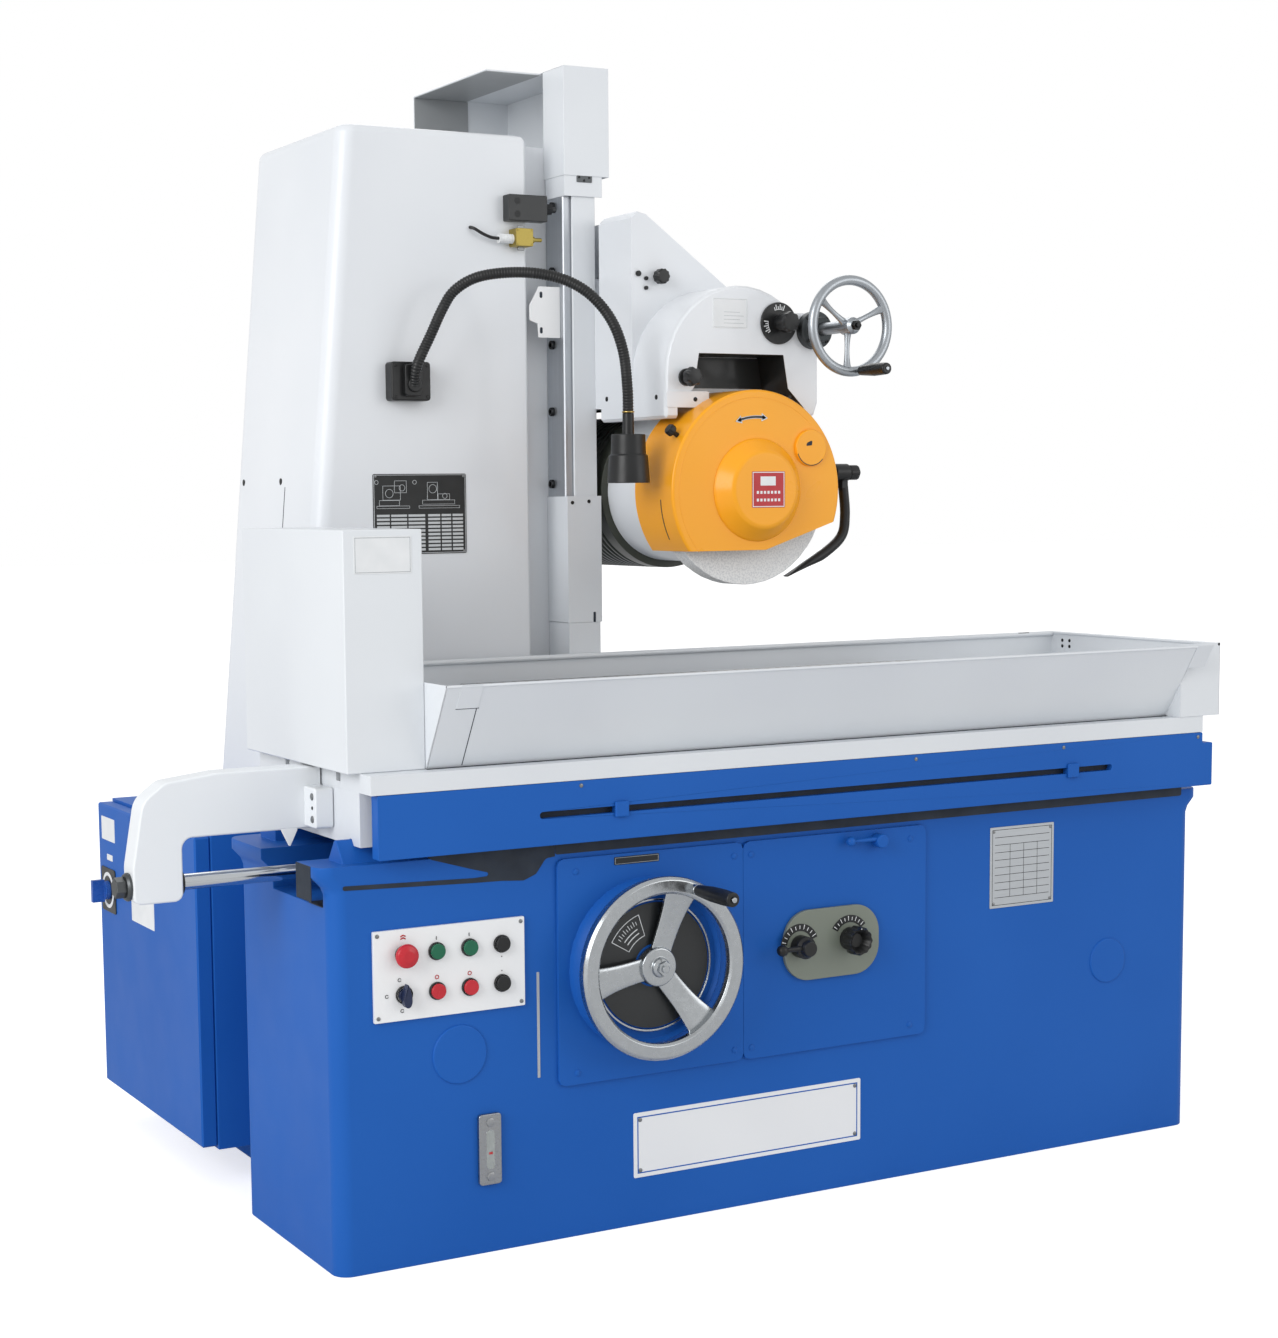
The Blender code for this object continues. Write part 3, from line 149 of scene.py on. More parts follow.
def roundBox(low, high, edge=0.002, steps=2, corner=None, axis="Z"):
    # A slab whose outline is a rectangle with filleted corners.
    order = {"X": (1, 2, 0), "Y": (0, 2, 1), "Z": (0, 1, 2)}[axis]
    (a, b, c), (d, e, f) = [low[i] for i in order], [high[i] for i in order]
    outline = filleted([(a, b), (d, b), (d, e), (a, e)], corner if corner is not None else edge * 1.5, 3)
    return slab(axis, outline, c, f, edge, steps)


def curve(points, count):
    # A Catmull-Rom curve through the points, sampled at even spacing along its length.
    p = np.asarray(points, float)
    p = np.vstack([2 * p[0] - p[1], p, 2 * p[-1] - p[-2]])
    t = np.linspace(0, 1, 24, endpoint=False)[:, None]
    parts = []
    for i in range(1, len(p) - 2):
        a, b, c, d = p[i - 1:i + 3]
        parts.append(0.5 * (2 * b + (c - a) * t + (2 * a - 5 * b + 4 * c - d) * t ** 2
                            + (3 * b - a - 3 * c + d) * t ** 3))
    line = np.vstack(parts + [p[-2:-1]])
    reach = np.concatenate([[0], np.cumsum(np.linalg.norm(np.diff(line, axis=0), axis=1))])
    at = np.linspace(0, reach[-1], count)
    return np.stack([np.interp(at, reach, line[:, k]) for k in range(line.shape[1])], 1)


def swept(path, section, scale=None, upright=(0, 0, 1), close=False):
    # A section (u, v) carried square to the path: point = path + u * side + v * up, scaled row by row.
    path = np.asarray(path, float)
    ahead = np.roll(path, -1, 0) - np.roll(path, 1, 0)
    if not close:
        ahead[0], ahead[-1] = path[1] - path[0], path[-1] - path[-2]
    ahead /= np.linalg.norm(ahead, axis=1, keepdims=True)
    side = np.cross(ahead, np.asarray(upright, float))
    side /= np.linalg.norm(side, axis=1, keepdims=True)
    up = np.cross(side, ahead)
    scale = np.ones((len(path), 2)) if scale is None else np.asarray(scale, float)
    if scale.ndim == 1:
        scale = np.stack([scale, scale], 1)
    section = np.asarray(section, float)
    grid = (path[:, None] + side[:, None] * (section[None, :, :1] * scale[:, None, :1])
            + up[:, None] * (section[None, :, 1:] * scale[:, None, 1:]))
    return rings(grid, closeAlong=close)


def circle(radius, sides=24, squash=1.0, start=0.0):
    t = np.arange(sides) * 2 * math.pi / sides + start
    return np.stack([radius * np.cos(t), radius * squash * np.sin(t)], 1)


def together(*shapes):
    points, faces, base = [], [], 0
    for shape in shapes:
        points.append(shape[0])
        faces.extend([[base + i for i in face] for face in shape[1]])
        base += len(shape[0])
    return np.vstack(points), faces


def moved(shape, offset=(0, 0, 0), turn=None):
    # The shape turned by a 3 x 3 matrix about the origin, then shifted.
    points = shape[0] if turn is None else shape[0] @ np.asarray(turn, float).T
    return points + np.asarray(offset, float), shape[1]


def piece(name, shape, finish, body, stands=(), angle=38):
    # Makes the object: closed skins get outward faces, flat and round parts part at the sharp angle.
    data = bpy.data.meshes.new(name)
    data.from_pydata(shape[0].tolist(), [], shape[1])
    work = bmesh.new()
    work.from_mesh(data)
    bmesh.ops.remove_doubles(work, verts=work.verts, dist=2e-6)
    bmesh.ops.dissolve_degenerate(work, edges=work.edges, dist=1e-7)
    bmesh.ops.recalc_face_normals(work, faces=work.faces)
    work.to_mesh(data)
    work.free()
    data.shade_smooth()
    data.set_sharp_from_angle(angle=math.radians(angle))
    made = bpy.data.objects.new(name, data)
    bpy.context.scene.collection.objects.link(made)
    data.materials.append(finish)
    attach(made, body)
    if stands:
        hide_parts(*stands)
    made.modifiers.new("even shading", "WEIGHTED_NORMAL").keep_sharp = True
    return made


def refined(node, name, finish, width=0.0015, segments=2, angle=50):
    # A merged copy of a CAD node with its flats rejoined and its hard edges rounded.
    work = bmesh.new()
    work.from_mesh(frame["nodes"][node].data)
    bmesh.ops.remove_doubles(work, verts=work.verts, dist=1e-6)
    bmesh.ops.dissolve_limit(work, angle_limit=math.radians(0.6), verts=work.verts, edges=work.edges)
    data = bpy.data.meshes.new(name)
    work.to_mesh(data)
    work.free()
    data.shade_smooth()
    made = bpy.data.objects.new(name, data)
    bpy.context.scene.collection.objects.link(made)
    if width:
        bevel = made.modifiers.new("edges", "BEVEL")
        bevel.width, bevel.segments = width, segments
        bevel.limit_method, bevel.angle_limit = "ANGLE", math.radians(angle)
        bevel.harden_normals = False
        bevel.miter_outer = "MITER_ARC"
        graph = bpy.context.evaluated_depsgraph_get()
        data = bpy.data.meshes.new_from_object(made.evaluated_get(graph))
        made.modifiers.clear()
        made.data = data
    data.shade_smooth()
    data.set_sharp_from_angle(angle=math.radians(28))
    data.materials.clear()
    data.materials.append(finish)
    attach(made, nodeBody[node])
    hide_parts(node)
    made.modifiers.new("even shading", "WEIGHTED_NORMAL").keep_sharp = True
    return made


# finishes
def linear(colour):
    # sRGB hex to linear: c / 12.92 below 0.04045, else ((c + 0.055) / 1.055) to the power 2.4.
    parts = [int(colour[i:i + 2], 16) / 255 for i in (1, 3, 5)]
    return tuple(c / 12.92 if c <= 0.04045 else ((c + 0.055) / 1.055) ** 2.4 for c in parts) + (1.0,)


def addNode(tree, kind, settings=(), links=()):
    # One node: each setting goes to its property or its socket, each link joins a source to a socket.
    made = tree.nodes.new(kind)
    for key, value in dict(settings).items():
        if isinstance(key, str) and hasattr(made, key):
            setattr(made, key, value)
        else:
            made.inputs[key].default_value = value
    for key, source in dict(links).items():
        tree.links.new(source, made.inputs[key])
    return made


def newFinish(name, **sockets):
    made = bpy.data.materials.new(name)
    made.use_nodes = True
    tree = made.node_tree
    shader = tree.nodes["Principled BSDF"]
    for key, value in sockets.items():
        shader.inputs[key.replace("_", " ")].default_value = value
    place = addNode(tree, "ShaderNodeTexCoord")
    return made, tree, shader, place.outputs["Object"]


def mottled(tree, shader, place, low, high, scale, detail=2.0, spread=(0.22, 0.78)):
    # Tone drifts between two colours with soft noise.
    noise = addNode(tree, "ShaderNodeTexNoise", {"Scale": scale, "Detail": detail}, {"Vector": place})
    ramp = addNode(tree, "ShaderNodeValToRGB", (), {"Fac": noise.outputs["Fac"]})
    ramp.color_ramp.interpolation = "EASE"
    for element, at, colour in zip(ramp.color_ramp.elements, spread, (low, high)):
        element.position, element.color = at, linear(colour)
    tree.links.new(ramp.outputs["Color"], shader.inputs["Base Color"])
    return ramp


def rough(tree, shader, place, low, high, scale):
    noise = addNode(tree, "ShaderNodeTexNoise", {"Scale": scale, "Detail": 2.0}, {"Vector": place})
    reach = addNode(tree, "ShaderNodeMapRange", {"interpolation_type": "SMOOTHSTEP", "From Min": 0.2, "From Max": 0.8,
                                                 "To Min": low, "To Max": high}, {"Value": noise.outputs["Fac"]})
    tree.links.new(reach.outputs["Result"], shader.inputs["Roughness"])


def bumped(tree, shader, height, depth, strength=1.0):
    bump = addNode(tree, "ShaderNodeBump", {"Strength": strength, "Distance": depth}, {"Height": height})
    tree.links.new(bump.outputs["Normal"], shader.inputs["Normal"])


def enamel(name, low, high, gloss=(0.26, 0.38), peel=0.00006, coat=0.25, specular=0.5):
    # Sprayed machine enamel over filled cast iron: drifting tone, slight orange peel, uneven gloss.
    made, tree, shader, place = newFinish(name, IOR=1.5, Coat_Weight=coat, Coat_Roughness=0.12,
                                          Specular_IOR_Level=specular)
    mottled(tree, shader, place, low, high, 2.2)             # tone drifts over about 450 mm
    rough(tree, shader, place, gloss[0], gloss[1], 9.0)      # gloss drifts over about 110 mm
    grain = addNode(tree, "ShaderNodeTexNoise", {"Scale": 170.0, "Detail": 1.5}, {"Vector": place})
    bumped(tree, shader, grain.outputs["Fac"], peel)         # orange peel 6 mm across, drawn coarse to show
    return made


def metal(name, colour, gloss, stretch=(60, 60, 60), depth=0.00003, tone=0.12):
    # Ground or turned steel: fine lines along the cut, with slight changes of tone and gloss.
    made, tree, shader, place = newFinish(name, Metallic=1.0)
    lines = addNode(tree, "ShaderNodeMapping", {"Scale": stretch}, {"Vector": place})
    noise = addNode(tree, "ShaderNodeTexNoise", {"Scale": 8.0, "Detail": 4.0}, {"Vector": lines.outputs["Vector"]})
    ramp = addNode(tree, "ShaderNodeValToRGB", (), {"Fac": noise.outputs["Fac"]})
    bright = linear(colour)
    ramp.color_ramp.elements[0].position, ramp.color_ramp.elements[1].position = 0.3, 0.7
    ramp.color_ramp.elements[0].color = tuple(c * (1 - tone) for c in bright[:3]) + (1.0,)
    ramp.color_ramp.elements[1].color = bright
    tree.links.new(ramp.outputs["Color"], shader.inputs["Base Color"])
    reach = addNode(tree, "ShaderNodeMapRange", {"From Min": 0.3, "From Max": 0.7, "To Min": gloss[0],
                                                 "To Max": gloss[1]}, {"Value": noise.outputs["Fac"]})
    tree.links.new(reach.outputs["Result"], shader.inputs["Roughness"])
    bumped(tree, shader, noise.outputs["Fac"], depth)
    return made


def moulded(name, low, high, gloss=(0.32, 0.42), scale=600.0, depth=0.00005):
    # Moulded plastic or bakelite: even colour, a fine skin texture about 1.5 mm across.
    made, tree, shader, place = newFinish(name, IOR=1.46)
    mottled(tree, shader, place, low, high, 25.0)
    rough(tree, shader, place, gloss[0], gloss[1], 40.0)
    grain = addNode(tree, "ShaderNodeTexNoise", {"Scale": scale, "Detail": 1.0}, {"Vector": place})
    bumped(tree, shader, grain.outputs["Fac"], depth)
    return made


blueEnamel = enamel("blueMachineEnamel", "#1b5aae", "#205fb4", (0.40, 0.48), 0.00003, 0.0, 0.16)
greyEnamel = enamel("paleGreyMachineEnamel", "#dadee3", "#e3e6ea", (0.38, 0.5))
sheetEnamel = enamel("paleGreySheetEnamel", "#d6dadf", "#dee2e6", (0.36, 0.46), 0.00003)
whiteEnamel = enamel("whitePanelEnamel", "#e6e8ea", "#eeeff0", (0.3, 0.4), 0.00002)
# A darker copy of the hood's sheet enamel: painted shade for the inside of the open hood.
hoodShadeEnamel = enamel("greyHoodInside", "#8f9294", "#9b9ea0", (0.45, 0.55))
yellowEnamel = enamel("yellowGuardEnamel", "#f3a217", "#f7aa20", (0.26, 0.34), 0.00004, 0.1, 0.35)
darkEnamel = enamel("darkMotorEnamel", "#33372f", "#3d4138", (0.4, 0.55), 0.00012)
oliveEnamel = enamel("oliveControlPlate", "#747b70", "#80877c", (0.4, 0.5), 0.00002)
groundSteel = metal("groundRailSteel", "#c6cacf", (0.42, 0.55), (30, 30, 0.8))          # grinding lines along Z
chuckSteel = metal("groundChuckSteel", "#b4b6b8", (0.25, 0.4), (1.2, 40, 40))
polishedSteel = metal("polishedSteel", "#b9bdc0", (0.2, 0.3), (14, 14, 14), 0.00001, 0.06)
castAluminium = metal("satinCastAluminium", "#aeb3b8", (0.32, 0.42), (20, 20, 20), 0.00001, 0.08)
hardChrome = metal("hardChromeRod", "#ccd0d4", (0.08, 0.16), (2, 60, 60), 0.00001, 0.05)
turnedSteel = metal("turnedSteel", "#a9abad", (0.25, 0.4), (40, 4, 40))
zincScrew = metal("zincPlatedScrew", "#8d8f90", (0.3, 0.42), (60, 60, 60), 0.00001)
blackScrew = metal("blackOxideScrew", "#3a3b3c", (0.34, 0.46), (60, 60, 60), 0.00001)
rawIron = metal("turnedCastIron", "#54585a", (0.42, 0.6), (60, 3, 60), 0.00008, 0.25)
rawBlack = enamel("blackDialEnamel", "#15181a", "#1e2224", (0.42, 0.55), 0.00008)
blackPlastic = moulded("blackBakelite", "#141516", "#1c1d1e")
blackRubber = moulded("blackRubberSleeve", "#121314", "#1a1b1b", (0.5, 0.6), 400.0)
redPlastic = moulded("redUreaPlastic", "#b8202c", "#c22733", (0.22, 0.3))
greenPlastic = moulded("greenUreaPlastic", "#0e5a40", "#146648", (0.22, 0.3))
bluePlastic = moulded("blueSwitchPlastic", "#1f4fa0", "#2a5cb0", (0.25, 0.34))
chromateBrass = metal("yellowChromateCasing", "#b3a058", (0.38, 0.5), (30, 30, 30), 0.00004)


def vitrified(name):
    # White fused alumina in a vitrified bond: open pores and sparkling grit about 1 mm across, drawn at 3 mm.
    made, tree, shader, place = newFinish(name, IOR=1.6)
    mottled(tree, shader, place, "#d3d5d7", "#eceded", 320.0, 4.0, (0.34, 0.62))
    rough(tree, shader, place, 0.7, 0.95, 200.0)
    pores = addNode(tree, "ShaderNodeTexVoronoi", {"Scale": 420.0}, {"Vector": place})
    bumped(tree, shader, pores.outputs["Distance"], 0.0002)
    return made


def clearPlastic(name):
    # Acrylic gauge window: clear, slightly green, smooth.
    made, tree, shader, place = newFinish(name, IOR=1.49, Transmission_Weight=0.7)
    mottled(tree, shader, place, "#dfe6e2", "#e9efec", 60.0)
    rough(tree, shader, place, 0.04, 0.1, 60.0)
    return made


whiteAlumina = vitrified("whiteFusedAlumina")
gaugeWindow = clearPlastic("acrylicGaugeWindow")
blackInk = moulded("blackPlateInk", "#191b1c", "#212324", (0.4, 0.5))
silverInk = metal("barePlateAluminium", "#b9bdc0", (0.3, 0.42), (50, 50, 50), 0.00001)
whiteInk = moulded("whiteScreenInk", "#dfe2e4", "#e8eaeb", (0.4, 0.5))
plateAluminium = metal("satinPlateAluminium", "#c3c7cb", (0.38, 0.52), (3, 60, 60), 0.00001, 0.08)
# Dark slots and seams; the same finish is also painted shadow under the bed's lip and the skirt, in the trough and
# under the guard plug's rim.
darkSlotAndShadow = moulded("darkSealedGroove", "#1b2430", "#232d3a", (0.6, 0.7))
labelPaper = moulded("paleLabelFilm", "#dcdfe1", "#e4e6e8", (0.35, 0.45))
redLabel = moulded("redLabelFilm", "#b02a30", "#ba3238", (0.35, 0.45))
armEnamel = enamel("whiteArmEnamel", "#e0e4e8", "#e8ebee", (0.34, 0.46))
navyPlastic = moulded("navySelectorPlastic", "#1b2440", "#232d4c", (0.25, 0.34))
brassRing = metal("brassRing", "#b59a5c", (0.25, 0.36), (30, 30, 30), 0.00001)
nutSteel = metal("greyPhosphatedNut", "#5c5f61", (0.34, 0.46), (50, 50, 50), 0.00002)
poleBrass = metal("chuckPoleSeparator", "#8f8b80", (0.3, 0.4), (40, 2, 40), 0.00001)
print("finishes made")
replacedNodes = set()
def spot(node):
    low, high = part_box(node)
    return np.array(low + high) / 2


def across(node, axis):
    # The node's centre in the two directions square to the axis.
    centre = spot(node)
    return {"X": centre[[1, 2]], "Y": centre[[0, 2]], "Z": centre[[0, 1]]}[axis]


def stand(name, node, shape, finish, angle=38):
    # A finer shape that takes a CAD node's place, on its body.
    replacedNodes.add(node)
    return piece(name, shape, finish, nodeBody[node], (node,), angle)


def extra(name, shape, finish, node, angle=38):
    # Surface detail that rides with the node it sits on.
    return piece(name, shape, finish, nodeBody[node], (), angle)


def trimmed(shape, place, normal):
    # Cuts away what lies beyond a plane and closes the cut.
    data = bpy.data.meshes.new("cutting")
    data.from_pydata(shape[0].tolist(), [], shape[1])
    work = bmesh.new()
    work.from_mesh(data)
    bpy.data.meshes.remove(data)
    bmesh.ops.remove_doubles(work, verts=work.verts, dist=2e-6)
    bmesh.ops.recalc_face_normals(work, faces=work.faces)
    cut = bmesh.ops.bisect_plane(work, geom=work.verts[:] + work.edges[:] + work.faces[:], plane_co=place,
                                 plane_no=normal, clear_outer=True)["geom_cut"]
    bmesh.ops.triangle_fill(work, edges=[e for e in cut if isinstance(e, bmesh.types.BMEdge)], use_beauty=True)
    work.verts.index_update()
    points = np.array([v.co[:] for v in work.verts])
    faces = [[v.index for v in face.verts] for face in work.faces]
    work.free()
    return points, faces


def arcBand(centre, inner, outer, start, end, steps=24):
    # Outline between two radii from one angle to another, in degrees.
    t = np.radians(np.linspace(start, end, steps))
    out = np.stack([np.cos(t), np.sin(t)], 1)
    return np.vstack([centre + out * outer, centre + out[::-1] * inner])


def rectangle(left, right, low, high, corner=0.0, steps=4):
    points = [(left, low), (right, low), (right, high), (left, high)]
    return filleted(points, corner, steps) if corner else np.array(points, float)


def socketScrew(place, axis, side, radius=0.005, height=0.004):
    # A cylinder head with a hexagonal recess, facing the side (-1 or 1) along the axis.
    c = {"X": (place[1], place[2]), "Y": (place[0], place[2]), "Z": (place[0], place[1])}[axis]
    foot = place["XYZ".index(axis)]
    top = foot + side * height
    t = np.arange(18) * math.pi / 9
    hexagon = math.cos(math.pi / 6) / np.cos((t + math.pi / 6) % (math.pi / 3) - math.pi / 6)
    rows = []
    for along, r, six in ((foot - side * 0.0004, radius, 0), (top - side * 0.0006, radius, 0),
                          (top, radius - 0.0006, 0), (top, radius * 0.56, 1), (top - side * height * 0.6,
                                                                                radius * 0.56, 1)):
        shape = r * (hexagon if six else 1.0)
        rows.append(onAxis(axis, np.stack([c[0] + shape * np.cos(t), c[1] + shape * np.sin(t)], 1), along))
    return rings(np.stack(rows))


def slottedScrew(place, axis, side, radius=0.0045, height=0.0016):
    # A low domed head: r falls with the sine of the rise.
    c = {"X": (place[1], place[2]), "Y": (place[0], place[2]), "Z": (place[0], place[1])}[axis]
    foot = place["XYZ".index(axis)]
    profile = [(foot - side * 0.0003, radius), (foot + side * height * 0.45, radius * 0.96),
               (foot + side * height * 0.85, radius * 0.7), (foot + side * height, radius * 0.3),
               (foot + side * height, 0)]
    return turned(axis, c, profile, 12)


# grinding wheel, guard and hub
wheelAt = across("grinding_wheel", "Y")
guard = {"front": -0.050, "back": 0.080, "radius": 0.1775, "sheet": 0.0035, "corner": 0.005, "hole": 0.085,
         "foot": 1.1406, "kink": 0.018, "slope": 0.3262, "plug": (0.113, 1.322), "plugRadius": 0.033}


def guardShell():
    g = guard
    wallIn = g["radius"] - g["sheet"]
    outer = filleted([(g["front"], 0), (g["front"], g["radius"]), (g["back"], g["radius"]), (g["back"], g["hole"])],
                     [0, g["corner"], 0.002, 0], 8, closed=False)
    inner = filleted([(g["back"] - g["sheet"], g["hole"]), (g["back"] - g["sheet"], wallIn),
                      (g["front"] + g["sheet"], wallIn), (g["front"] + g["sheet"], 0)],
                     [0, 0.001, g["corner"] - g["sheet"], 0], 6, closed=False)
    shell = turned("Y", wheelAt, np.vstack([outer, inner]), 144)
    shell = trimmed(shell, (0, 0, g["foot"]), (0, 0, -1))
    tilt = math.atan(g["slope"])
    return trimmed(shell, (g["kink"], 0, g["foot"]), (math.sin(tilt), 0, -math.cos(tilt)))


plugProfile = filleted([(guard["front"] + 0.001, guard["plugRadius"]), (guard["front"] - 0.0058, guard["plugRadius"]),
                        (guard["front"] - 0.0058, 0)], [0, 0.0022, 0], 5, closed=False)
bead = swept(onAxis("Y", circle(guard["radius"] - 0.014, 96)[12:60] + wheelAt, guard["front"] + 0.0001),
             circle(0.0006, 6), None, (0, 1, 0))
stand("wheelGuard", "wheel_guard", together(guardShell(), turned("Y", guard["plug"], plugProfile, 48), bead),
      yellowEnamel, 30)
# The plug's slot is a dark groove; the dark arc along the plug's lower rim is painted shadow.
extra("guardPlugSlot", together(slab("Y", filleted([(0.100, 1.325), (0.1135, 1.3265), (0.1145, 1.336), (0.1035,
    1.331)],
                                                   0.002, 3), guard["front"] - 0.0063, guard["front"] - 0.0050,
                                     0.0002, 1),
                                slab("Y", arcBand(np.array(guard["plug"]), 0.0305, 0.0320, 200, 320),
                                     guard["front"] - 0.0059, guard["front"] - 0.0050, 0.0001, 1)),
      darkSlotAndShadow, "wheel_guard")
arrowAt = wheelAt
arrowBand = arcBand(arrowAt, 0.1262, 0.1318, 84, 107)
heads = [np.array([[arrowAt[0] + r * math.cos(math.radians(a)), arrowAt[1] + r * math.sin(math.radians(a))]
                   for r, a in ((0.1215, near), (0.1289, tip), (0.1363, near))]) for near, tip in ((86, 80), (105,
                       111))]
f = guard["front"]
extra("rotationPlate", together(slab("Y", arrowBand, f - 0.0009, f + 0.0005, 0.0002, 1),
                                *[slab("Y", h, f - 0.0009, f + 0.0005, 0.0002, 1) for h in heads]), silverInk,
      "wheel_guard")
extra("rotationArrow", together(slab("Y", arcBand(arrowAt, 0.1272, 0.1308, 83, 108), f - 0.0012, f - 0.0008, 0.0001,
                                     1),
                                *[slab("Y", h.mean(0) + (h - h.mean(0)) * 0.62, f - 0.0012, f - 0.0008, 0.0001, 1)
                                  for h in heads]), blackInk, "wheel_guard")

hub = {"foot": 0.092, "nose": 0.064, "height": 0.028}
hubProfile = filleted([(guard["front"] - 0.0003, 0), (guard["front"] - 0.0003, hub["foot"]),
                       (guard["front"] - 0.0045, hub["foot"] - 0.0025),
                       (guard["front"] - hub["height"] - 0.0003, hub["nose"] + 0.003),
                       (guard["front"] - hub["height"] - 0.0003, 0)], [0, 0.0005, 0.010, 0.013, 0], 8, closed=False)
stand("guardHubCover", "guard_hub_cover", turned("Y", wheelAt, hubProfile, 96), yellowEnamel, 30)
nose = guard["front"] - hub["height"] - 0.0003
extra("hubLabel", slab("Y", rectangle(-0.030, 0.040, 1.216, 1.280, 0.002), nose - 0.0004, nose + 0.0002, 0.0001, 1),
      redLabel, "guard_hub_cover")
extra("hubLabelBorder", together(*[slab("Y", rectangle(*edges), nose - 0.0006, nose - 0.0003, 0.0001,
                                        1) for edges in (
    (-0.0285, 0.0385, 1.2775, 1.2790), (-0.0285, 0.0385, 1.2172, 1.2187), (-0.0285, -0.0270, 1.2187, 1.2775),
    (0.0370, 0.0385, 1.2187, 1.2775), (-0.012, 0.020, 1.255, 1.271), *[(x, x + 0.0045, z, z + 0.005)
                                                                      for x in np.arange(-0.020, 0.028, 0.0075)
                                                                      for z in (1.2405, 1.2270)])]), whiteInk,
                                                                      "guard_hub_cover")

wheel = {"front": -0.012, "back": 0.028, "radius": 0.170, "bore": 0.0638}
wheelProfile = filleted([(wheel["front"], wheel["bore"]), (wheel["front"], wheel["radius"]),
                         (wheel["back"], wheel["radius"]), (wheel["back"], wheel["bore"])], [0, 0.0016, 0.0016, 0], 3,
                        closed=False)
count = 160
angles = np.arange(count) * 2 * math.pi / count
chips = 0.00035 * np.sin(angles * 37) * np.sin(angles * 11 + 1)          # the dressed edge is slightly uneven
grid = np.stack([onAxis("Y", np.stack([wheelAt[0] + (r - (chips + 0.0004) * (r > 0.168)) * np.cos(angles),
                                       wheelAt[1] + (r - (chips + 0.0004) * (r > 0.168)) * np.sin(angles)], 1), y)
                 for y, r in wheelProfile])
stand("grindingWheel", "grinding_wheel", rings(grid, closeAlong=True), whiteAlumina)
print("wheel and guard made")

# wheelhead barrel with its slide, and the motor behind it
head = {"front": 0.0803, "back": 0.260, "radius": 0.131, "bore": 0.0403}
barrel = filleted([(head["front"], head["bore"]), (head["front"], head["radius"]), (head["back"], head["radius"]),
                   (head["back"], head["bore"])], [0, 0.004, 0.001, 0], 4, closed=False)
slideEnds = (0.0845, 0.6195)
slideOutline = [(-0.1025, 1.4102), (0.1025, 1.4102), (0.0990, 1.430), (0.0888, 1.4893), (-0.0888, 1.4893),
                (-0.0990, 1.430)]
stand("wheelheadCasting", "wheelhead_casting", together(
    rings(np.stack([onAxis("Y", circle(r, 112) + wheelAt, y) for y, r in barrel]), closeAlong=True),
    slab("Y", filleted(slideOutline, 0.0012, 2), slideEnds[0], slideEnds[1], 0.001, 1),
    slab("Y", rectangle(-0.080, 0.080, wheelAt[1] + 0.090, 1.420, 0.004), head["front"] + 0.0045,
         head["back"] - 0.001,
         0.001, 1)), greyEnamel)

motor = {"front": 0.2603, "back": 0.640, "radius": 0.145, "bore": 0.0403, "blind": 0.555}
ribs = []
for y in np.arange(0.300, 0.575, 0.018):                                  # shallow cooling ribs round the motor
    ribs += [(y, motor["radius"] - 0.0035), (y + 0.003, motor["radius"] - 0.0002),
             (y + 0.009, motor["radius"] - 0.0002), (y + 0.012, motor["radius"] - 0.0035)]
motorProfile = filleted([(motor["blind"], 0), (motor["blind"], motor["bore"]), (motor["front"], motor["bore"]),
                         (motor["front"], motor["radius"] - 0.0005), (0.292, motor["radius"] - 0.0005)] + ribs
                        + [(0.590, motor["radius"] - 0.0005), (0.592, motor["radius"] - 0.008),
                           (0.628, motor["radius"] - 0.008), (motor["back"], motor["radius"] - 0.026),
                           (motor["back"], 0.058), (motor["back"] - 0.004, 0.052), (motor["back"] - 0.004, 0)],
                        0.0012, 3, closed=False)
stand("motorHousing", "motor_housing", turned("Y", wheelAt, motorProfile, 112), darkEnamel, 40)
print("wheelhead made")

# handwheels
crossWheel = {"centre": across("cross_feed_flange", "Y"), "y": -0.120, "radius": 0.0802, "tube": 0.0088,
              "spokes": (25, 145, 265), "handle": -80}
liftWheel = {"centre": across("lift_handwheel", "Y"), "front": -0.280, "radius": 0.156, "spokes": (-52, 72, 188),
             "handle": 68}


def outAt(centre, radius, degrees, y):
    t = math.radians(degrees)
    return np.array([centre[0] + radius * math.cos(t), y, centre[1] + radius * math.sin(t)])


c = crossWheel
rim = rings(np.stack([onAxis("Y", circle(c["radius"] + c["tube"] * math.cos(t), 96) + c["centre"],
                             c["y"] + c["tube"] * math.sin(t))
                      for t in np.arange(20) * math.pi / 10]), closeAlong=True)
spokes = []
for degrees in c["spokes"]:
    path = np.stack([outAt(c["centre"], r, degrees, y) for r, y in
                     zip(np.linspace(0.008, 0.0745, 12), c["y"] + 0.006 - 0.006 * np.linspace(0, 1, 12) ** 2)])
    taper = 1.25 - 0.55 * np.sin(np.linspace(0, math.pi, 12)) ** 0.7
    spokes.append(swept(path, circle(0.0066, 16, 0.8), taper, (0, 1, 0)))
shaft = filleted([(c["y"] - 0.0158, 0), (c["y"] - 0.0158, 0.0095), (c["y"] - 0.010, 0.0148), (c["y"] + 0.018, 0.0148),
                  (c["y"] + 0.020, 0.0108), (0.0255, 0.0108), (0.0255, 0)], [0, .0015, .003, .002, .001, .0005, 0], 4,
                 closed=False)
gripAt = outAt(c["centre"], c["radius"], c["handle"], 0)[[0, 2]]
pin = turned("Y", gripAt, [(c["y"] - 0.0938, 0), (c["y"] - 0.0938, 0.0026), (c["y"] - 0.0930, 0.0034),
                           (c["y"], 0.0034), (c["y"], 0)], 20)
stand("crossHandwheel", "cross_handwheel", together(rim, *spokes, turned("Y", c["centre"], shaft, 48), pin),
      castAluminium)
extra("crossHubNut", together(slab("Y", circle(0.0092, 6) + c["centre"], c["y"] - 0.0155, c["y"] - 0.0225, 0.0008, 2),
                              turned("Y", c["centre"], [(c["y"] - 0.0215, 0.0045), (c["y"] - 0.026, 0.0045),
                                                        (c["y"] - 0.0265, 0.0038), (c["y"] - 0.0265, 0)], 20)),
      blackScrew, "cross_handwheel")
front = c["y"] - c["tube"]
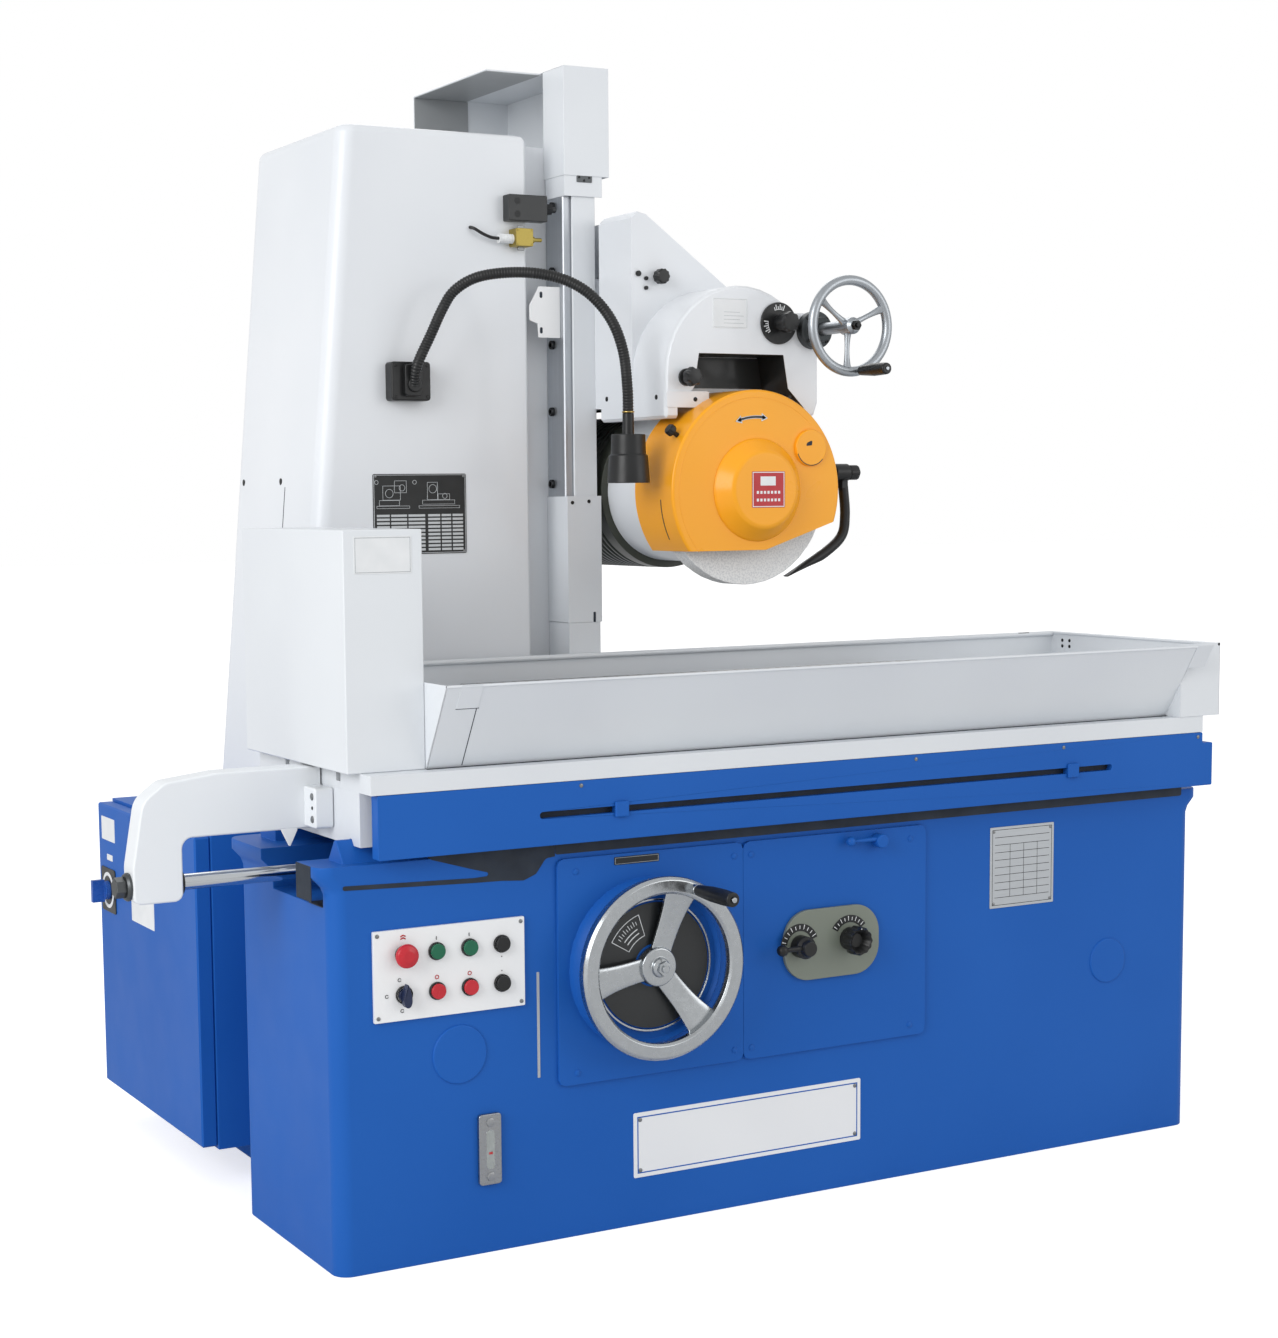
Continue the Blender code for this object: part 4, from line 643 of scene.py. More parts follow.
gripProfile = filleted([(front - 0.0045, 0.0040), (front - 0.0045, 0.0082), (front - 0.012, 0.0088),
                        (front - 0.045, 0.0113), (front - 0.072, 0.0106), (front - 0.0825, 0.0100),
                        (front - 0.0825, 0.0040)], [0, .002, .01, .02, .02, .003, 0], 6, closed=False)
stand("crossGrip", "cross_handle", rings(np.stack([onAxis("Y", circle(r, 36) + gripAt, y) for y, r in gripProfile]),
                                         closeAlong=True), blackPlastic)
flangeProfile = filleted([(-0.0357, 0.0116), (-0.0357, 0.0215), (-0.0195, 0.0238), (-0.018, 0.0338),
                          (-0.0003, 0.0338), (-0.0003, 0.0116)], [0, .002, .003, .002, .0005, 0], 4, closed=False)
stand("crossFeedFlange", "cross_feed_flange", together(
    rings(np.stack([onAxis("Y", circle(r, 60) + c["centre"], y) for y, r in flangeProfile]), closeAlong=True)),
      rawIron)
extra("flangeScrews", together(*[socketScrew(outAt(c["centre"], 0.0285, a, -0.0180), "Y", -1, 0.0034, 0.003)
                                 for a in (45, 135, 225, 315)]), blackScrew, "cross_feed_flange")

w = liftWheel
f, r = w["front"], w["radius"]
rimLoop = filleted([(f + 0.004, r - 0.0298), (f, r - 0.0255), (f, r - 0.006), (f + 0.006, r - 0.0002),
                    (f + 0.024, r - 0.003), (f + 0.0298, r - 0.012), (f + 0.026, r - 0.024), (f + 0.014, r - 0.0298)],
                   [.002, .003, .004, .005, .004, .004, .004, .002], 5)
rim = rings(np.stack([onAxis("Y", circle(q, 128) + w["centre"], y) for y, q in rimLoop]), closeAlong=True)
spokes = []
for degrees in w["spokes"]:
    s = np.linspace(0, 1, 20)
    path = np.stack([outAt(w["centre"], q, degrees, y) for q, y in
                     zip(0.014 + 0.117 * s, f + 0.034 - 0.012 * s ** 2 - 0.002 * s)])
    width = 0.019 + 0.011 * s ** 3
    blade = filleted([(-1, -1), (1, -1), (1, 1), (-1, 1)], 0.45, 4)
    spokes.append(swept(path, blade, np.stack([width, 0.0042 + 0.0006 * s], 1), (0, 1, 0)))
hubProfile = filleted([(f + 0.0122, 0), (f + 0.0122, 0.0095), (f + 0.0165, 0.0158), (f + 0.0220, 0.0165),
                       (f + 0.0225, 0.0335), (-0.2364, 0.0335), (-0.2364, 0.0158), (-0.2062, 0.0158), (-0.2062, 0)],
                      [0, .001, .002, .002, .004, .001, .001, .0005, 0], 4, closed=False)
crankAt = outAt(w["centre"], r - 0.015, w["handle"], 0)[[0, 2]]
crankPin = filleted([(f + 0.005, 0), (f + 0.005, 0.0088), (f - 0.0138, 0.0088), (f - 0.0138, 0.0047),
                     (f - 0.1278, 0.0047), (f - 0.1278, 0)], [0, 0, .0015, .0005, .0012, 0], 3, closed=False)
stand("liftHandwheel", "lift_handwheel", together(rim, *spokes, turned("Y", w["centre"], hubProfile, 64),
                                                  turned("Y", crankAt, crankPin, 28)), polishedSteel)
extra("liftHubNut", together(slab("Y", circle(0.0125, 6, start=0.3) + w["centre"], f + 0.0128, f + 0.0045, 0.001, 2),
                             turned("Y", w["centre"], [(f + 0.006, 0.0065), (f + 0.0008, 0.0065), (f, 0.0056),
                                                       (f, 0)], 24)), polishedSteel, "lift_handwheel")
gripProfile = filleted([(f - 0.0148, 0.0054), (f - 0.0148, 0.0090), (f - 0.020, 0.0098), (f - 0.060, 0.0128),
                        (f - 0.095, 0.0134), (f - 0.1235, 0.0122), (f - 0.1235, 0.0054)],
                       [0, .002, .006, .03, .03, .003, 0], 6, closed=False)
stand("liftGrip", "lift_handle", rings(np.stack([onAxis("Y", circle(q, 44) + crankAt, y) for y, q in gripProfile]),
                                       closeAlong=True), blackPlastic)
dialFace = -0.2360
extra("liftDial", rings(np.stack([onAxis("Y", circle(q, 96) + w["centre"], y) for y, q in
                                  filleted([(dialFace + 0.0004, 0.0365), (dialFace - 0.0009, 0.0365),
                                            (dialFace - 0.0009, 0.1068), (dialFace + 0.0004, 0.1068)], 0.0002, 2)]),
                        closeAlong=True), rawBlack, "left_apron_plate")
extra("liftDialRing", rings(np.stack([onAxis("Y", circle(q, 112) + w["centre"], y) for y, q in
                                      filleted([(dialFace + 0.0008, 0.1092), (dialFace - 0.0012, 0.1100),
                                                (dialFace - 0.0012, 0.1128), (dialFace + 0.0008, 0.1136)], 0.0006,
                                               3)]), closeAlong=True), polishedSteel, "left_apron_plate")
scale = w["centre"]
extra("liftScaleLines", together(
    *[slab("Y", arcBand(scale, q, q + 0.0012, 108, 150, 20), dialFace - 0.0013, dialFace - 0.0007, 0.0001, 1)
      for q in (0.054, 0.092)],
    *[slab("Y", arcBand(scale, 0.054, 0.0932, a, a + 0.9, 2), dialFace - 0.0013, dialFace - 0.0007, 0.0001, 1)
      for a in (107.6, 149.6)],
    *[slab("Y", arcBand(scale, q, q + 0.0018, 116, 142, 14), dialFace - 0.0013, dialFace - 0.0007, 0.0001, 1)
      for q in (0.0625, 0.0700)],
    *[slab("Y", arcBand(scale, 0.0780, 0.0780 + (0.009 if k % 2 else 0.006), a, a + 0.8, 2), dialFace - 0.0013,
           dialFace - 0.0007, 0.0001, 1) for k, a in enumerate(np.linspace(114, 143, 9))]),
      whiteInk, "left_apron_plate")
print("handwheels made")
def plate(axis, face, edges, thick=0.0008, corner=0.001):
    # a thin sheet lying on a face that looks towards the low end of the axis
    return slab(axis, rectangle(*edges, corner), face - thick, face + 0.0005, thick * 0.3, 1)


def border(axis, face, edges, width=0.0012, lift=0.0010):
    # four bars round the inside of a plate's edge
    left, right, low, high = edges
    return together(*[plate(axis, face, bar, lift, 0) for bar in (
        (left, right, high - width, high), (left, right, low, low + width),
        (left, left + width, low + width, high - width), (right - width, right, low + width, high - width))])


def screwsAt(axis, face, places, radius=0.004, side=-1):
    # slotted heads at (u, v) places on a face
    order = {"X": lambda u, v: (face, u, v), "Y": lambda u, v: (u, face, v), "Z": lambda u, v: (u, v, face)}[axis]
    return together(*[slottedScrew(order(u, v), axis, side, radius, radius * 0.4) for u, v in places])


# lamp: cranked base, ribbed gooseneck, bell shade
neck = {"base": ((-0.574, 0.2497, 1.412), (-0.498, 0.2797, 1.481)), "tube": 0.0098, "pitch": 0.0052,
        "collar": (-0.535, 1.440), "stem": (-0.236, 0.0)}
path = curve([(-0.535, 0.2397, 1.440), (-0.535, 0.226, 1.474), (-0.513, 0.214, 1.527), (-0.494, 0.204, 1.572),
              (-0.476, 0.194, 1.602), (-0.443, 0.178, 1.624), (-0.402, 0.150, 1.632), (-0.355, 0.115, 1.630),
              (-0.313, 0.080, 1.616), (-0.279, 0.050, 1.588), (-0.252, 0.026, 1.543), (-0.239, 0.010, 1.489),
              (-0.236, 0.002, 1.427), (-0.236, 0, 1.3836)], 521)
reach = np.concatenate([[0], np.cumsum(np.linalg.norm(np.diff(path, axis=0), axis=1))])
coils = 1 - 0.12 * (0.5 - 0.5 * np.cos(reach * 2 * math.pi / neck["pitch"])) ** 2
stand("lampGooseneck", "lamp_gooseneck", together(
    roundBox(*neck["base"], 0.003, 3, 0.006, "Y"),
    slab("Y", rectangle(-0.553, -0.519, 1.420, 1.476, 0.006), 0.2380, 0.2510, 0.002, 2),
    turned("Y", neck["collar"], filleted([(0.2517, 0), (0.2517, 0.0158), (0.2337, 0.0128), (0.2337, 0)],
                                         [0, 0, 0.002, 0], 4, closed=False), 32),
    screwsAt("Y", 0.2497, [(x, z) for x in (-0.567, -0.505) for z in (1.419, 1.474)], 0.003),
    swept(path, circle(neck["tube"], 18), coils, (0.62, 0.78, 0))), blackPlastic, 50)
extra("gooseneckRing", turned("Z", neck["stem"], filleted([(1.3840, 0.0094), (1.3840, 0.0110), (1.3865, 0.0110),
                                                          (1.3865, 0.0094)], 0.0006, 3), 32),
      brassRing, "lamp_gooseneck")
shade = filleted([(1.383, 0), (1.383, 0.0100), (1.3465, 0.0102), (1.3465, 0.0300), (1.3125, 0.0308), (1.309, 0.0343),
                  (1.262, 0.0375), (1.262, 0.0345), (1.300, 0.0265), (1.300, 0)],
                 [0, .001, .001, .002, .002, .001, .0006, .0006, .006, 0], 5, closed=False)
stand("lampHead", "lamp_head", turned("Z", neck["stem"], shade, 64), blackPlastic, 40)
extra("lampBulb", turned("Z", neck["stem"], filleted([(1.3002, 0), (1.3002, 0.009), (1.290, 0.0165), (1.272, 0.0150),
                                                     (1.266, 0)], [0, .002, .008, .010, 0], 6, closed=False), 32),
      whiteEnamel, "lamp_head")

# head stop block with its nut, and the limit switch below it
stand("headStopBlock", "head_stop_block", together(
    roundBox((-0.334, 0.2547, 1.738), (-0.255, 0.2797, 1.785), 0.0016, 3, 0.002, "Y"),
    slab("X", circle(0.0100, 6) + (0.2672, 1.762), -0.2552, -0.2430, 0.0008, 2),
    turned("X", (0.2672, 1.762), [(-0.2435, 0), (-0.2435, 0.0055), (-0.2335, 0.0055), (-0.2322, 0.0044),
                                  (-0.2322, 0)], 24)), rawBlack)
extra("stopBlockBores", together(*[turned("Y", (-0.3165, z), [(0.2552, 0), (0.2544, 0.0001), (0.2544, 0.0060),
                                                            (0.2552, 0.0062)], 28) for z in (1.7500, 1.7735)]),
      blackInk, "head_stop_block")
extra("stopBlockNut", slab("X", circle(0.0108, 6) + (0.2672, 1.762), -0.2545, -0.2425, 0.001, 2), blackScrew,
      "head_stop_block")
ribbed = [(-0.3215, 0), (-0.3215, 0.0086)]
for x in np.arange(-0.3235, -0.3485, -0.0034):
    ribbed += [(x, 0.0086), (x - 0.0008, 0.0072), (x - 0.0026, 0.0072), (x - 0.0034, 0.0086)]
stand("limitSwitch", "limit_switch", together(
    roundBox((-0.3225, 0.2505, 1.6925), (-0.2870, 0.2797, 1.7245), 0.0012, 2, 0.002, "Y"),
    turned("X", (0.2657, 1.706), [(-0.2880, 0), (-0.2880, 0.0060), (-0.2790, 0.0060), (-0.2785, 0.0036),
                                  (-0.2635, 0.0036), (-0.2622, 0.0020), (-0.2622, 0)], 24),
    screwsAt("Y", 0.2508, [(x, z) for x in (-0.3190, -0.2905) for z in (1.6960, 1.7210)], 0.0022)), chromateBrass)
extra("limitSwitchLugs", together(*[slab("Y", rectangle(-0.3115, -0.2985, low, low + 0.0070, 0.002), 0.2640, 0.2680,
                                         0.0004, 1) for low in (1.6860, 1.7240)]), zincScrew, "limit_switch")
extra("limitSwitchGland", turned("X", (0.2657, 1.706), ribbed + [(-0.3497, 0.0086), (-0.3497, 0)], 32), whiteInk,
      "limit_switch")
print("lamp and switches made")

# control panel: white plate, round bezels, buttons, chevron and position marks
panelFace = -0.2113
stations = {node: across(node, "Y") for node in (
    "emergency_stop", "start_button_left", "start_button_right", "jog_button_top", "pump_selector",
    "stop_button_left", "stop_button_right", "jog_button_bottom")}
seatRing = filleted([(0.0005, 0.0130), (0.0005, 0.0147), (-0.0034, 0.0147), (-0.0048, 0.0139), (-0.0048, 0.0130)],
                    [0, 0, .001, .0004, .0002], 3)
stand("buttonPanel", "button_panel", together(
    roundBox((-0.832, -0.2113, 0.409), (-0.562, -0.2053, 0.557), 0.0008, 2, 0.002, "Y")), whiteEnamel)
extra("buttonBezels", together(*[rings(np.stack([onAxis("Y", circle(r, 36) + at, panelFace + y)
                                                 for y, r in seatRing]), closeAlong=True)
                                 for at in stations.values()]), blackPlastic, "button_panel")
extra("panelScrews", screwsAt("Y", panelFace, [(x, z) for x in (-0.825, -0.569) for z in (0.4165, 0.5495)], 0.0036),
      zincScrew, "button_panel")
buttonProfile = filleted([(0.0118, 0), (0.0118, 0.0102), (-0.0050, 0.0102), (-0.0052, 0.0126), (-0.0098, 0.0124),
                          (-0.0098, 0)], [0, 0, 0, 0, .0012, 0], 3,
                         closed=False) + (panelFace, 0)
for node, finish in (("start_button_left", greenPlastic), ("start_button_right", greenPlastic),
                     ("stop_button_left", redPlastic), ("stop_button_right", redPlastic),
                     ("jog_button_top", blackPlastic), ("jog_button_bottom", blackPlastic)):
    stand(node.replace("_", " ").title().replace(" ", ""), node, turned("Y", stations[node], buttonProfile, 36),
          finish)
mushroom = filleted([(0.0118, 0), (0.0118, 0.0096), (-0.0096, 0.0096), (-0.0105, 0.0185), (-0.0150, 0.0198),
                     (-0.0205, 0.0185), (-0.0238, 0.0090), (-0.0238, 0)],
                    [0, 0, .001, .0015, .004, .005, .008, 0], 5, closed=False) + (panelFace, 0)
stand("EmergencyStop", "emergency_stop", turned("Y", stations["emergency_stop"], mushroom, 48), redPlastic)
at = stations["pump_selector"]
pear = np.array([(0.0066 * math.cos(t) * (1 - 0.5 * math.sin(t)), 0.0190 * math.sin(t))
                 for t in np.arange(40) * math.pi / 20])
stand("PumpSelector", "pump_selector", together(
    turned("Y", at, filleted([(0.0118, 0), (0.0118, 0.0102), (-0.0062, 0.0102), (-0.0062, 0)], [0, 0, .001, 0], 3,
                             closed=False) + (panelFace, 0), 36),
    slab("Y", pear + at, panelFace - 0.0186, panelFace - 0.0055, 0.0016, 3)), navyPlastic)
x, z = stations["emergency_stop"]
marks = [np.array([(x - 0.0045, z + s), (x, z + s + 0.0022), (x + 0.0045, z + s), (x + 0.0045, z + s + 0.0022),
                   (x, z + s + 0.0044), (x - 0.0045, z + s + 0.0022)]) for s in (0.0240, 0.0282)]
extra("panelChevrons", together(*[slab("Y", mark, panelFace - 0.0008, panelFace + 0.0004, 0.0002,
                                       1) for mark in marks],
                                *[slab("Y", arcBand(stations[n] + (0, 0.0225), 0.0024, 0.0036, 0, 359, 20),
                                       panelFace - 0.0008, panelFace + 0.0004, 0.0001, 1)
                                  for n in ("stop_button_left", "stop_button_right")]),
      redLabel, "button_panel")
extra("panelMarks", together(
    *[plate("Y", panelFace, (stations[n][0] - 0.0006, stations[n][0] + 0.0006, 0.5345, 0.5400), 0.0008, 0)
      for n in ("start_button_left", "start_button_right")],
    *[slab("Y", arcBand(stations["pump_selector"] + spot, 0.0022, 0.0031, 20, 340, 16), panelFace - 0.0008,
           panelFace + 0.0004, 0.0001, 1) for spot in ((-0.0075, 0.0245), (-0.0300, 0.0), (-0.0035, -0.0260))],
    *[plate("Y", panelFace, (at[0] - 0.0008, at[0] + 0.0008, at[1] + h, at[1] + h + 0.0016), 0.0008, 0)
      for at, h in ((stations["jog_button_top"], -0.022), (stations["jog_button_bottom"], 0.0195))]),
      blackInk, "button_panel")
print("control panel made")

# hydraulic control plate with lever and speed knob, reversing lever, oil gauge
valve = {"face": -0.2196, "lever": (-0.025, 0.453), "knob": (0.081, 0.456)}
dialY = valve["face"]
stand("hydraulicPlate", "hydraulic_plate", slab("Y", rectangle(-0.056, 0.146, 0.390, 0.515, 0.052, 14), dialY,
                                                -0.2116,
                                                0.0014, 3), oliveEnamel)
leverAt, knobAt = np.array(valve["lever"]), np.array(valve["knob"])
extra("leverScale", together(slab("Y", arcBand(leverAt, 0.0265, 0.0395, 20, 172, 40), dialY - 0.0007, dialY + 0.0004,
                                  0.0002, 1),
                             slab("Y", arcBand(knobAt, 0.0290, 0.0420, 35, 150, 40), dialY - 0.0007, dialY + 0.0004,
                                  0.0002,
                                  1)), blackInk, "hydraulic_plate")
extra("leverScaleTicks", together(
    *[slab("Y", arcBand(leverAt, 0.0300, 0.0365 if k % 3 else 0.0385, a, a + 2.2, 2), dialY - 0.0010, dialY - 0.0005,
           0.0001, 1)
      for k, a in enumerate(np.linspace(28, 164, 10))],
    *[slab("Y", arcBand(knobAt, 0.0325, 0.0385 if k % 2 else 0.0405, a, a + 2.0, 2), dialY - 0.0010, dialY - 0.0005,
           0.0001, 1)
      for k, a in enumerate(np.linspace(42, 143, 9))]), whiteInk, "hydraulic_plate")
leverHub = filleted([(dialY - 0.0358, 0), (dialY - 0.0358, 0.0128), (dialY - 0.030, 0.0150), (dialY - 0.026, 0.0150),
                     (dialY - 0.022, 0.0198), (dialY - 0.0015, 0.0198), (dialY - 0.0004, 0.0186), (dialY - 0.0004,
                         0.0080),
                     (-0.2062, 0.0080), (-0.2062, 0)], [0, .002, .001, .001, .002, .0005, 0, 0, .0005, 0], 4,
                    closed=False)


def armAndBall(y, z, start, end, thin, thick, ball, radius):
    # a bar that tapers towards its ball end, along X
    return together(turned("X", (y, z), [(start, 0), (start, thick), (end, thin), (end, 0)], 20),
                    turned("X", (y, z), [(ball + radius * math.cos(a), radius * math.sin(a))
                                         for a in np.linspace(0, math.pi, 17)], 24))


stand("hydraulicLever", "hydraulic_lever", together(
    turned("Y", leverAt, leverHub, 48), armAndBall(dialY - 0.024, 0.454, -0.035, -0.072, 0.0038, 0.0052, -0.0768,
                                                   0.0102)),
      blackPlastic)
knobShape = [(dialY - 0.022, 0), (dialY - 0.022, 0.0120), (dialY - 0.0345, 0.0188), (dialY - 0.0375, 0.0235),
             (dialY - 0.0330, 0.0258),
             (dialY - 0.0230, 0.0262), (dialY - 0.0140, 0.0256), (dialY - 0.0100, 0.0208), (dialY - 0.0004, 0.0206),
             (dialY - 0.0004, 0.0080),
             (-0.2062, 0.0080), (-0.2062, 0)]
lobeShare = np.array([0, 0, 0.3, 0.7, 1, 1, 1, 0, 0, 0, 0, 0])
stand("hydraulicKnob", "hydraulic_knob", turned("Y", knobAt, np.column_stack([knobShape, lobeShare]), 120,
                                                (12, 0.0024)), blackPlastic, 30)
extra("knobPointer", plate("Y", dialY - 0.0376, (knobAt[0] - 0.0006, knobAt[0] + 0.0006, knobAt[1] + 0.0215,
                                            knobAt[1] + 0.0236), 0.0003, 0), whiteInk, "hydraulic_knob")
reverseAt = (0.145, 0.626)
stand("reversingLever", "reversing_lever", together(
    turned("Y", reverseAt, filleted([(-0.2062, 0), (-0.2062, 0.0075), (-0.2118, 0.0075), (-0.2118, 0.0126),
                                     (-0.2333, 0.0126), (-0.2333, 0)], [0, 0, 0, .001, .003, 0], 4, closed=False),
                                     36),
    armAndBall(-0.2253, 0.630, 0.140, 0.086, 0.0032, 0.0043, 0.0802, 0.0088)), blueEnamel)
gaugeSeat = -0.2053
stand("oilGauge", "oil_gauge", together(
    slab("Y", rectangle(-0.6505, -0.6095, 0.1165, 0.2355, 0.006), -0.2128, gaugeSeat, 0.0016, 3),
    *[turned("Y", (-0.630, z), [(-0.2100, 0.0085), (-0.2145, 0.0078), (-0.2152, 0.0060), (-0.2152, 0)], 6)
      for z in (0.1305, 0.2215)]), turnedSteel)
extra("gaugeGlass", slab("Y", rectangle(-0.6375, -0.6225, 0.1430, 0.2090, 0.0070), -0.2134, -0.2110, 0.0004, 1),
      gaugeWindow, "oil_gauge")
extra("gaugeFloat", plate("Y", -0.2132, (-0.6335, -0.6265, 0.168, 0.172), 0.0004, 0), redLabel, "oil_gauge")
print("hydraulic controls made")

# saddle: bare label, edge strip with its screws, dials and knobs
extra("saddleLabel", plate("Y", 0.0, (-0.061, 0.012, 1.535, 1.588), 0.0006, 0.002), labelPaper, "saddle_casting")
extra("saddleLabelRules", together(border("Y", -0.0004, (-0.0595, 0.0105, 1.5365, 1.5865), 0.0006, 0.0004),
                                   *[plate("Y", -0.0004, (-0.038, 0.004 - 0.008 * (k % 2), z, z + 0.0009), 0.0004, 0)
                                     for k, z in enumerate((1.5435, 1.550, 1.5565, 1.563))]), silverInk,
                                     "saddle_casting")
extra("saddleStrip", plate("Y", 0.0, (-0.158, -0.070, 1.394, 1.423), 0.0016, 0.003), greyEnamel, "saddle_casting")
extra("saddleScrews", together(screwsAt("Y", -0.0014, [(-0.099, 1.4085)], 0.0042),
                               screwsAt("Y", 0.0, [(0.102, 1.414)], 0.0046),
                               screwsAt("X", -0.1600, [(0.209, 1.417), (0.031, 1.413)], 0.0046)), blackScrew,
      "saddle_casting")
tunnel = [(0.1348, 1.3954), (0.0997, 1.4302), (0.0897, 1.4899), (-0.0897, 1.4899), (-0.0997, 1.4302),
          (-0.1348, 1.3954)]
# The tunnel's walls are lined black: partly their black paint, partly painted shade deep in the tunnel.
tunnelShadeLining = np.array(tunnel + [(x * 0.9985, z - 0.00012) for x, z in tunnel[::-1]])
extra("tunnelPaint", rings(np.stack([onAxis("Y", tunnelShadeLining, y) for y in (0.0012, 0.300)])), rawBlack,
      "saddle_casting")
# The slide's face is black partly as its paint and partly as painted shade.
extra("slidePaint", slab("Y", np.array([(-0.0985, 1.4325), (0.0985, 1.4325), (0.0885, 1.4880),
                                        (-0.0885, 1.4880)]), 0.0838, 0.0850, 0.0002, 1), rawBlack,
      "wheelhead_casting")
clampAt = across("gusset_clamp_knob", "Y")
dialAt = np.array((0.077, 1.546))
stand("feedDialKnob", "feed_dial_knob", together(
    turned("Y", dialAt, filleted([(0.0245, 0), (0.0245, 0.0072), (-0.0004, 0.0072), (-0.0004, 0.0374),
                                  (-0.0058, 0.0374), (-0.0058, 0.0135)], [0, .0005, 0, .0005, .001, 0], 3,
                                 closed=False), 72),
    turned("Y", dialAt, [(-0.0050, 0, 0), (-0.0050, 0.0138, 0), (-0.0120, 0.0145, .3), (-0.0200, 0.0180, 1),
                         (-0.0400, 0.0190, 1), (-0.0445, 0.0178, .8), (-0.0459, 0.0150, 0), (-0.0459, 0, 0)], 96,
           (8, 0.0022))), blackPlastic, 34)
extra("feedDialScale", together(
    *[slab("Y", arcBand(dialAt, 0.0240, 0.0250, a, a + 46, 16), -0.0063, -0.0055, 0.0001, 1) for a in (68, 172)],
    *[slab("Y", arcBand(dialAt, 0.0250, 0.0300 if k % 2 else 0.0335, a, a + 3.2, 2), -0.0063, -0.0055, 0.0001, 1)
      for start in (68, 172) for k, a in enumerate(np.linspace(start + 1, start + 42, 6))]), whiteInk,
      "feed_dial_knob")
stand("wayLockKnob", "way_lock_knob", turned("Y", (-0.118, 1.447), [
    (0.0245, 0, 0), (0.0245, 0.0072, 0), (-0.0002, 0.0072, 0), (-0.0004, 0.0152, 0), (-0.0060, 0.0155, 0),
    (-0.0075, 0.0095, 0), (-0.0120, 0.0092, 0), (-0.0160, 0.0160, .5), (-0.0200, 0.0175, 1), (-0.0290, 0.0172, 1),
    (-0.0330, 0.0140, .5), (-0.0339, 0.0080, 0), (-0.0339, 0, 0)], 96, (7, 0.0030)), blackPlastic, 34)
stand("gussetClampKnob", "gusset_clamp_knob", turned("Y", clampAt, [
    (0.1396, 0, 0), (0.1396, 0.0062, 0), (0.1145, 0.0062, 0), (0.1145, 0.0080, 0), (0.1085, 0.0080, 0),
    (0.1060, 0.0138, 1), (0.0920, 0.0138, 1), (0.0895, 0.0110, .5), (0.0892, 0, 0)], 72, (10, 0.0012)),
      blackPlastic, 34)
extra("gussetPins", together(*[turned("Y", (x, z), [(0.1160, 0), (0.1160, r), (0.1110, r), (0.1104, 0)], 16)
                               for x, z, r in ((-0.147, 1.637, .0050), (-0.131, 1.612, .0036), (-0.131, 1.629,
                                   .0036))]),
      blackScrew, "saddle_casting")
t = math.radians(147)
along, square = np.array([math.cos(t), 0, math.sin(t)]), np.array([-math.sin(t), 0, math.cos(t)])
frameTurn = np.stack([square, np.array([0, 1.0, 0]), along], 1)
guardKnob = turned("Z", (0, 0), [(-0.003, 0, 0), (-0.003, 0.0044, 0), (0.0110, 0.0044, 0), (0.0112, 0.0092, 0),
                                 (0.0135, 0.0104, 1), (0.0205, 0.0104, 1), (0.0232, 0.0085, .4), (0.0235, 0, 0)], 72,
                   (9, 0.0010))
knobFoot = np.array([guard["radius"] * math.cos(t), -0.022, wheelAt[1] + guard["radius"] * math.sin(t)])
stand("guardLockKnob", "guard_lock_knob", moved(guardKnob, knobFoot, frameTurn), blackPlastic, 34)
slotTurn = np.radians(np.linspace(185, 209, 24))
slotLine = np.stack([wheelAt[0] + guard["radius"] * np.cos(slotTurn), np.linspace(-0.010, -0.004, 24),
                     wheelAt[1] + guard["radius"] * np.sin(slotTurn)], 1)
extra("guardSideSlot", swept(slotLine, np.array([(-0.0004, -0.0012), (0.0004, -0.0012), (0.0004, 0.0012),
                                                 (-0.0004, 0.0012)]), None, (0, 1, 0)), darkSlotAndShadow, "wheel_guard")
print("saddle controls made")

# coolant valve: block, threaded barrel, nozzle drawn out to a flat tip, tap
coolant = {"left": 0.1781, "axis": (0.008, 1.278)}
hoseX = coolant["left"]
hose = curve([(hoseX + .046, .008, 1.272), (hoseX + .050, .008, 1.245), (hoseX + .0535, .008, 1.200), (hoseX + .046,
    .008, 1.162),
              (hoseX + .010, .008, 1.132), (hoseX - .040, .008, 1.108), (hoseX - .078, .008, 1.090)], 90)
flatten = np.ones((90, 2)) * 0.98
flatten[60:, 0] = np.linspace(0.98, 0.14, 30)
barrel = filleted([(0.1985, 0), (0.1985, 0.0130), (0.2045, 0.0130), (0.2045, 0.0162), (0.2345, 0.0162),
                   (0.2361, 0.0145), (0.2361, 0)], [0, 0, .0005, .001, .001, .0005, 0], 3, closed=False)
stand("coolantValve", "coolant_valve", together(
    roundBox((hoseX, -0.010, 1.240), (hoseX + 0.022, 0.026, 1.292), 0.002, 3, 0.003, "X"),
    turned("X", coolant["axis"], barrel, 40), swept(hose, circle(0.0095, 24), flatten, (0, 1, 0)),
    turned("Z", (hoseX + 0.0465, 0.008), [(1.250, 0), (1.250, 0.0118), (1.262, 0.0122), (1.266, 0)], 6)),
    blackPlastic, 45)
stand("coolantTap", "coolant_tap", turned("X", coolant["axis"], [
    (0.2366, 0, 0), (0.2366, 0.0120, 0), (0.2395, 0.0146, .6), (0.2540, 0.0148, 1), (0.2575, 0.0130, .5),
    (0.2579, 0, 0)], 72, (6, 0.0016)), blackPlastic, 34)

# column: data plate, screws, slotted bracket and the rail's bolts
columnShape = {"foot": 0.6203, "top": 1.895, "leftFoot": -0.765, "leftTop": -0.650, "right": -0.285, "front": 0.2800,
               "back": 0.700, "corners": (0.030, 0.007, 0.007, 0.035)}
c = columnShape


def columnRing(z, shrink):
    share = (z - c["foot"]) / (c["top"] - c["foot"])
    left = c["leftFoot"] + (c["leftTop"] - c["leftFoot"]) * share
    outline = filleted([(left, c["front"]), (c["right"], c["front"]), (c["right"], c["back"]), (left, c["back"])],
                       c["corners"], 7)
    return onAxis("Z", inset(outline, shrink), z)


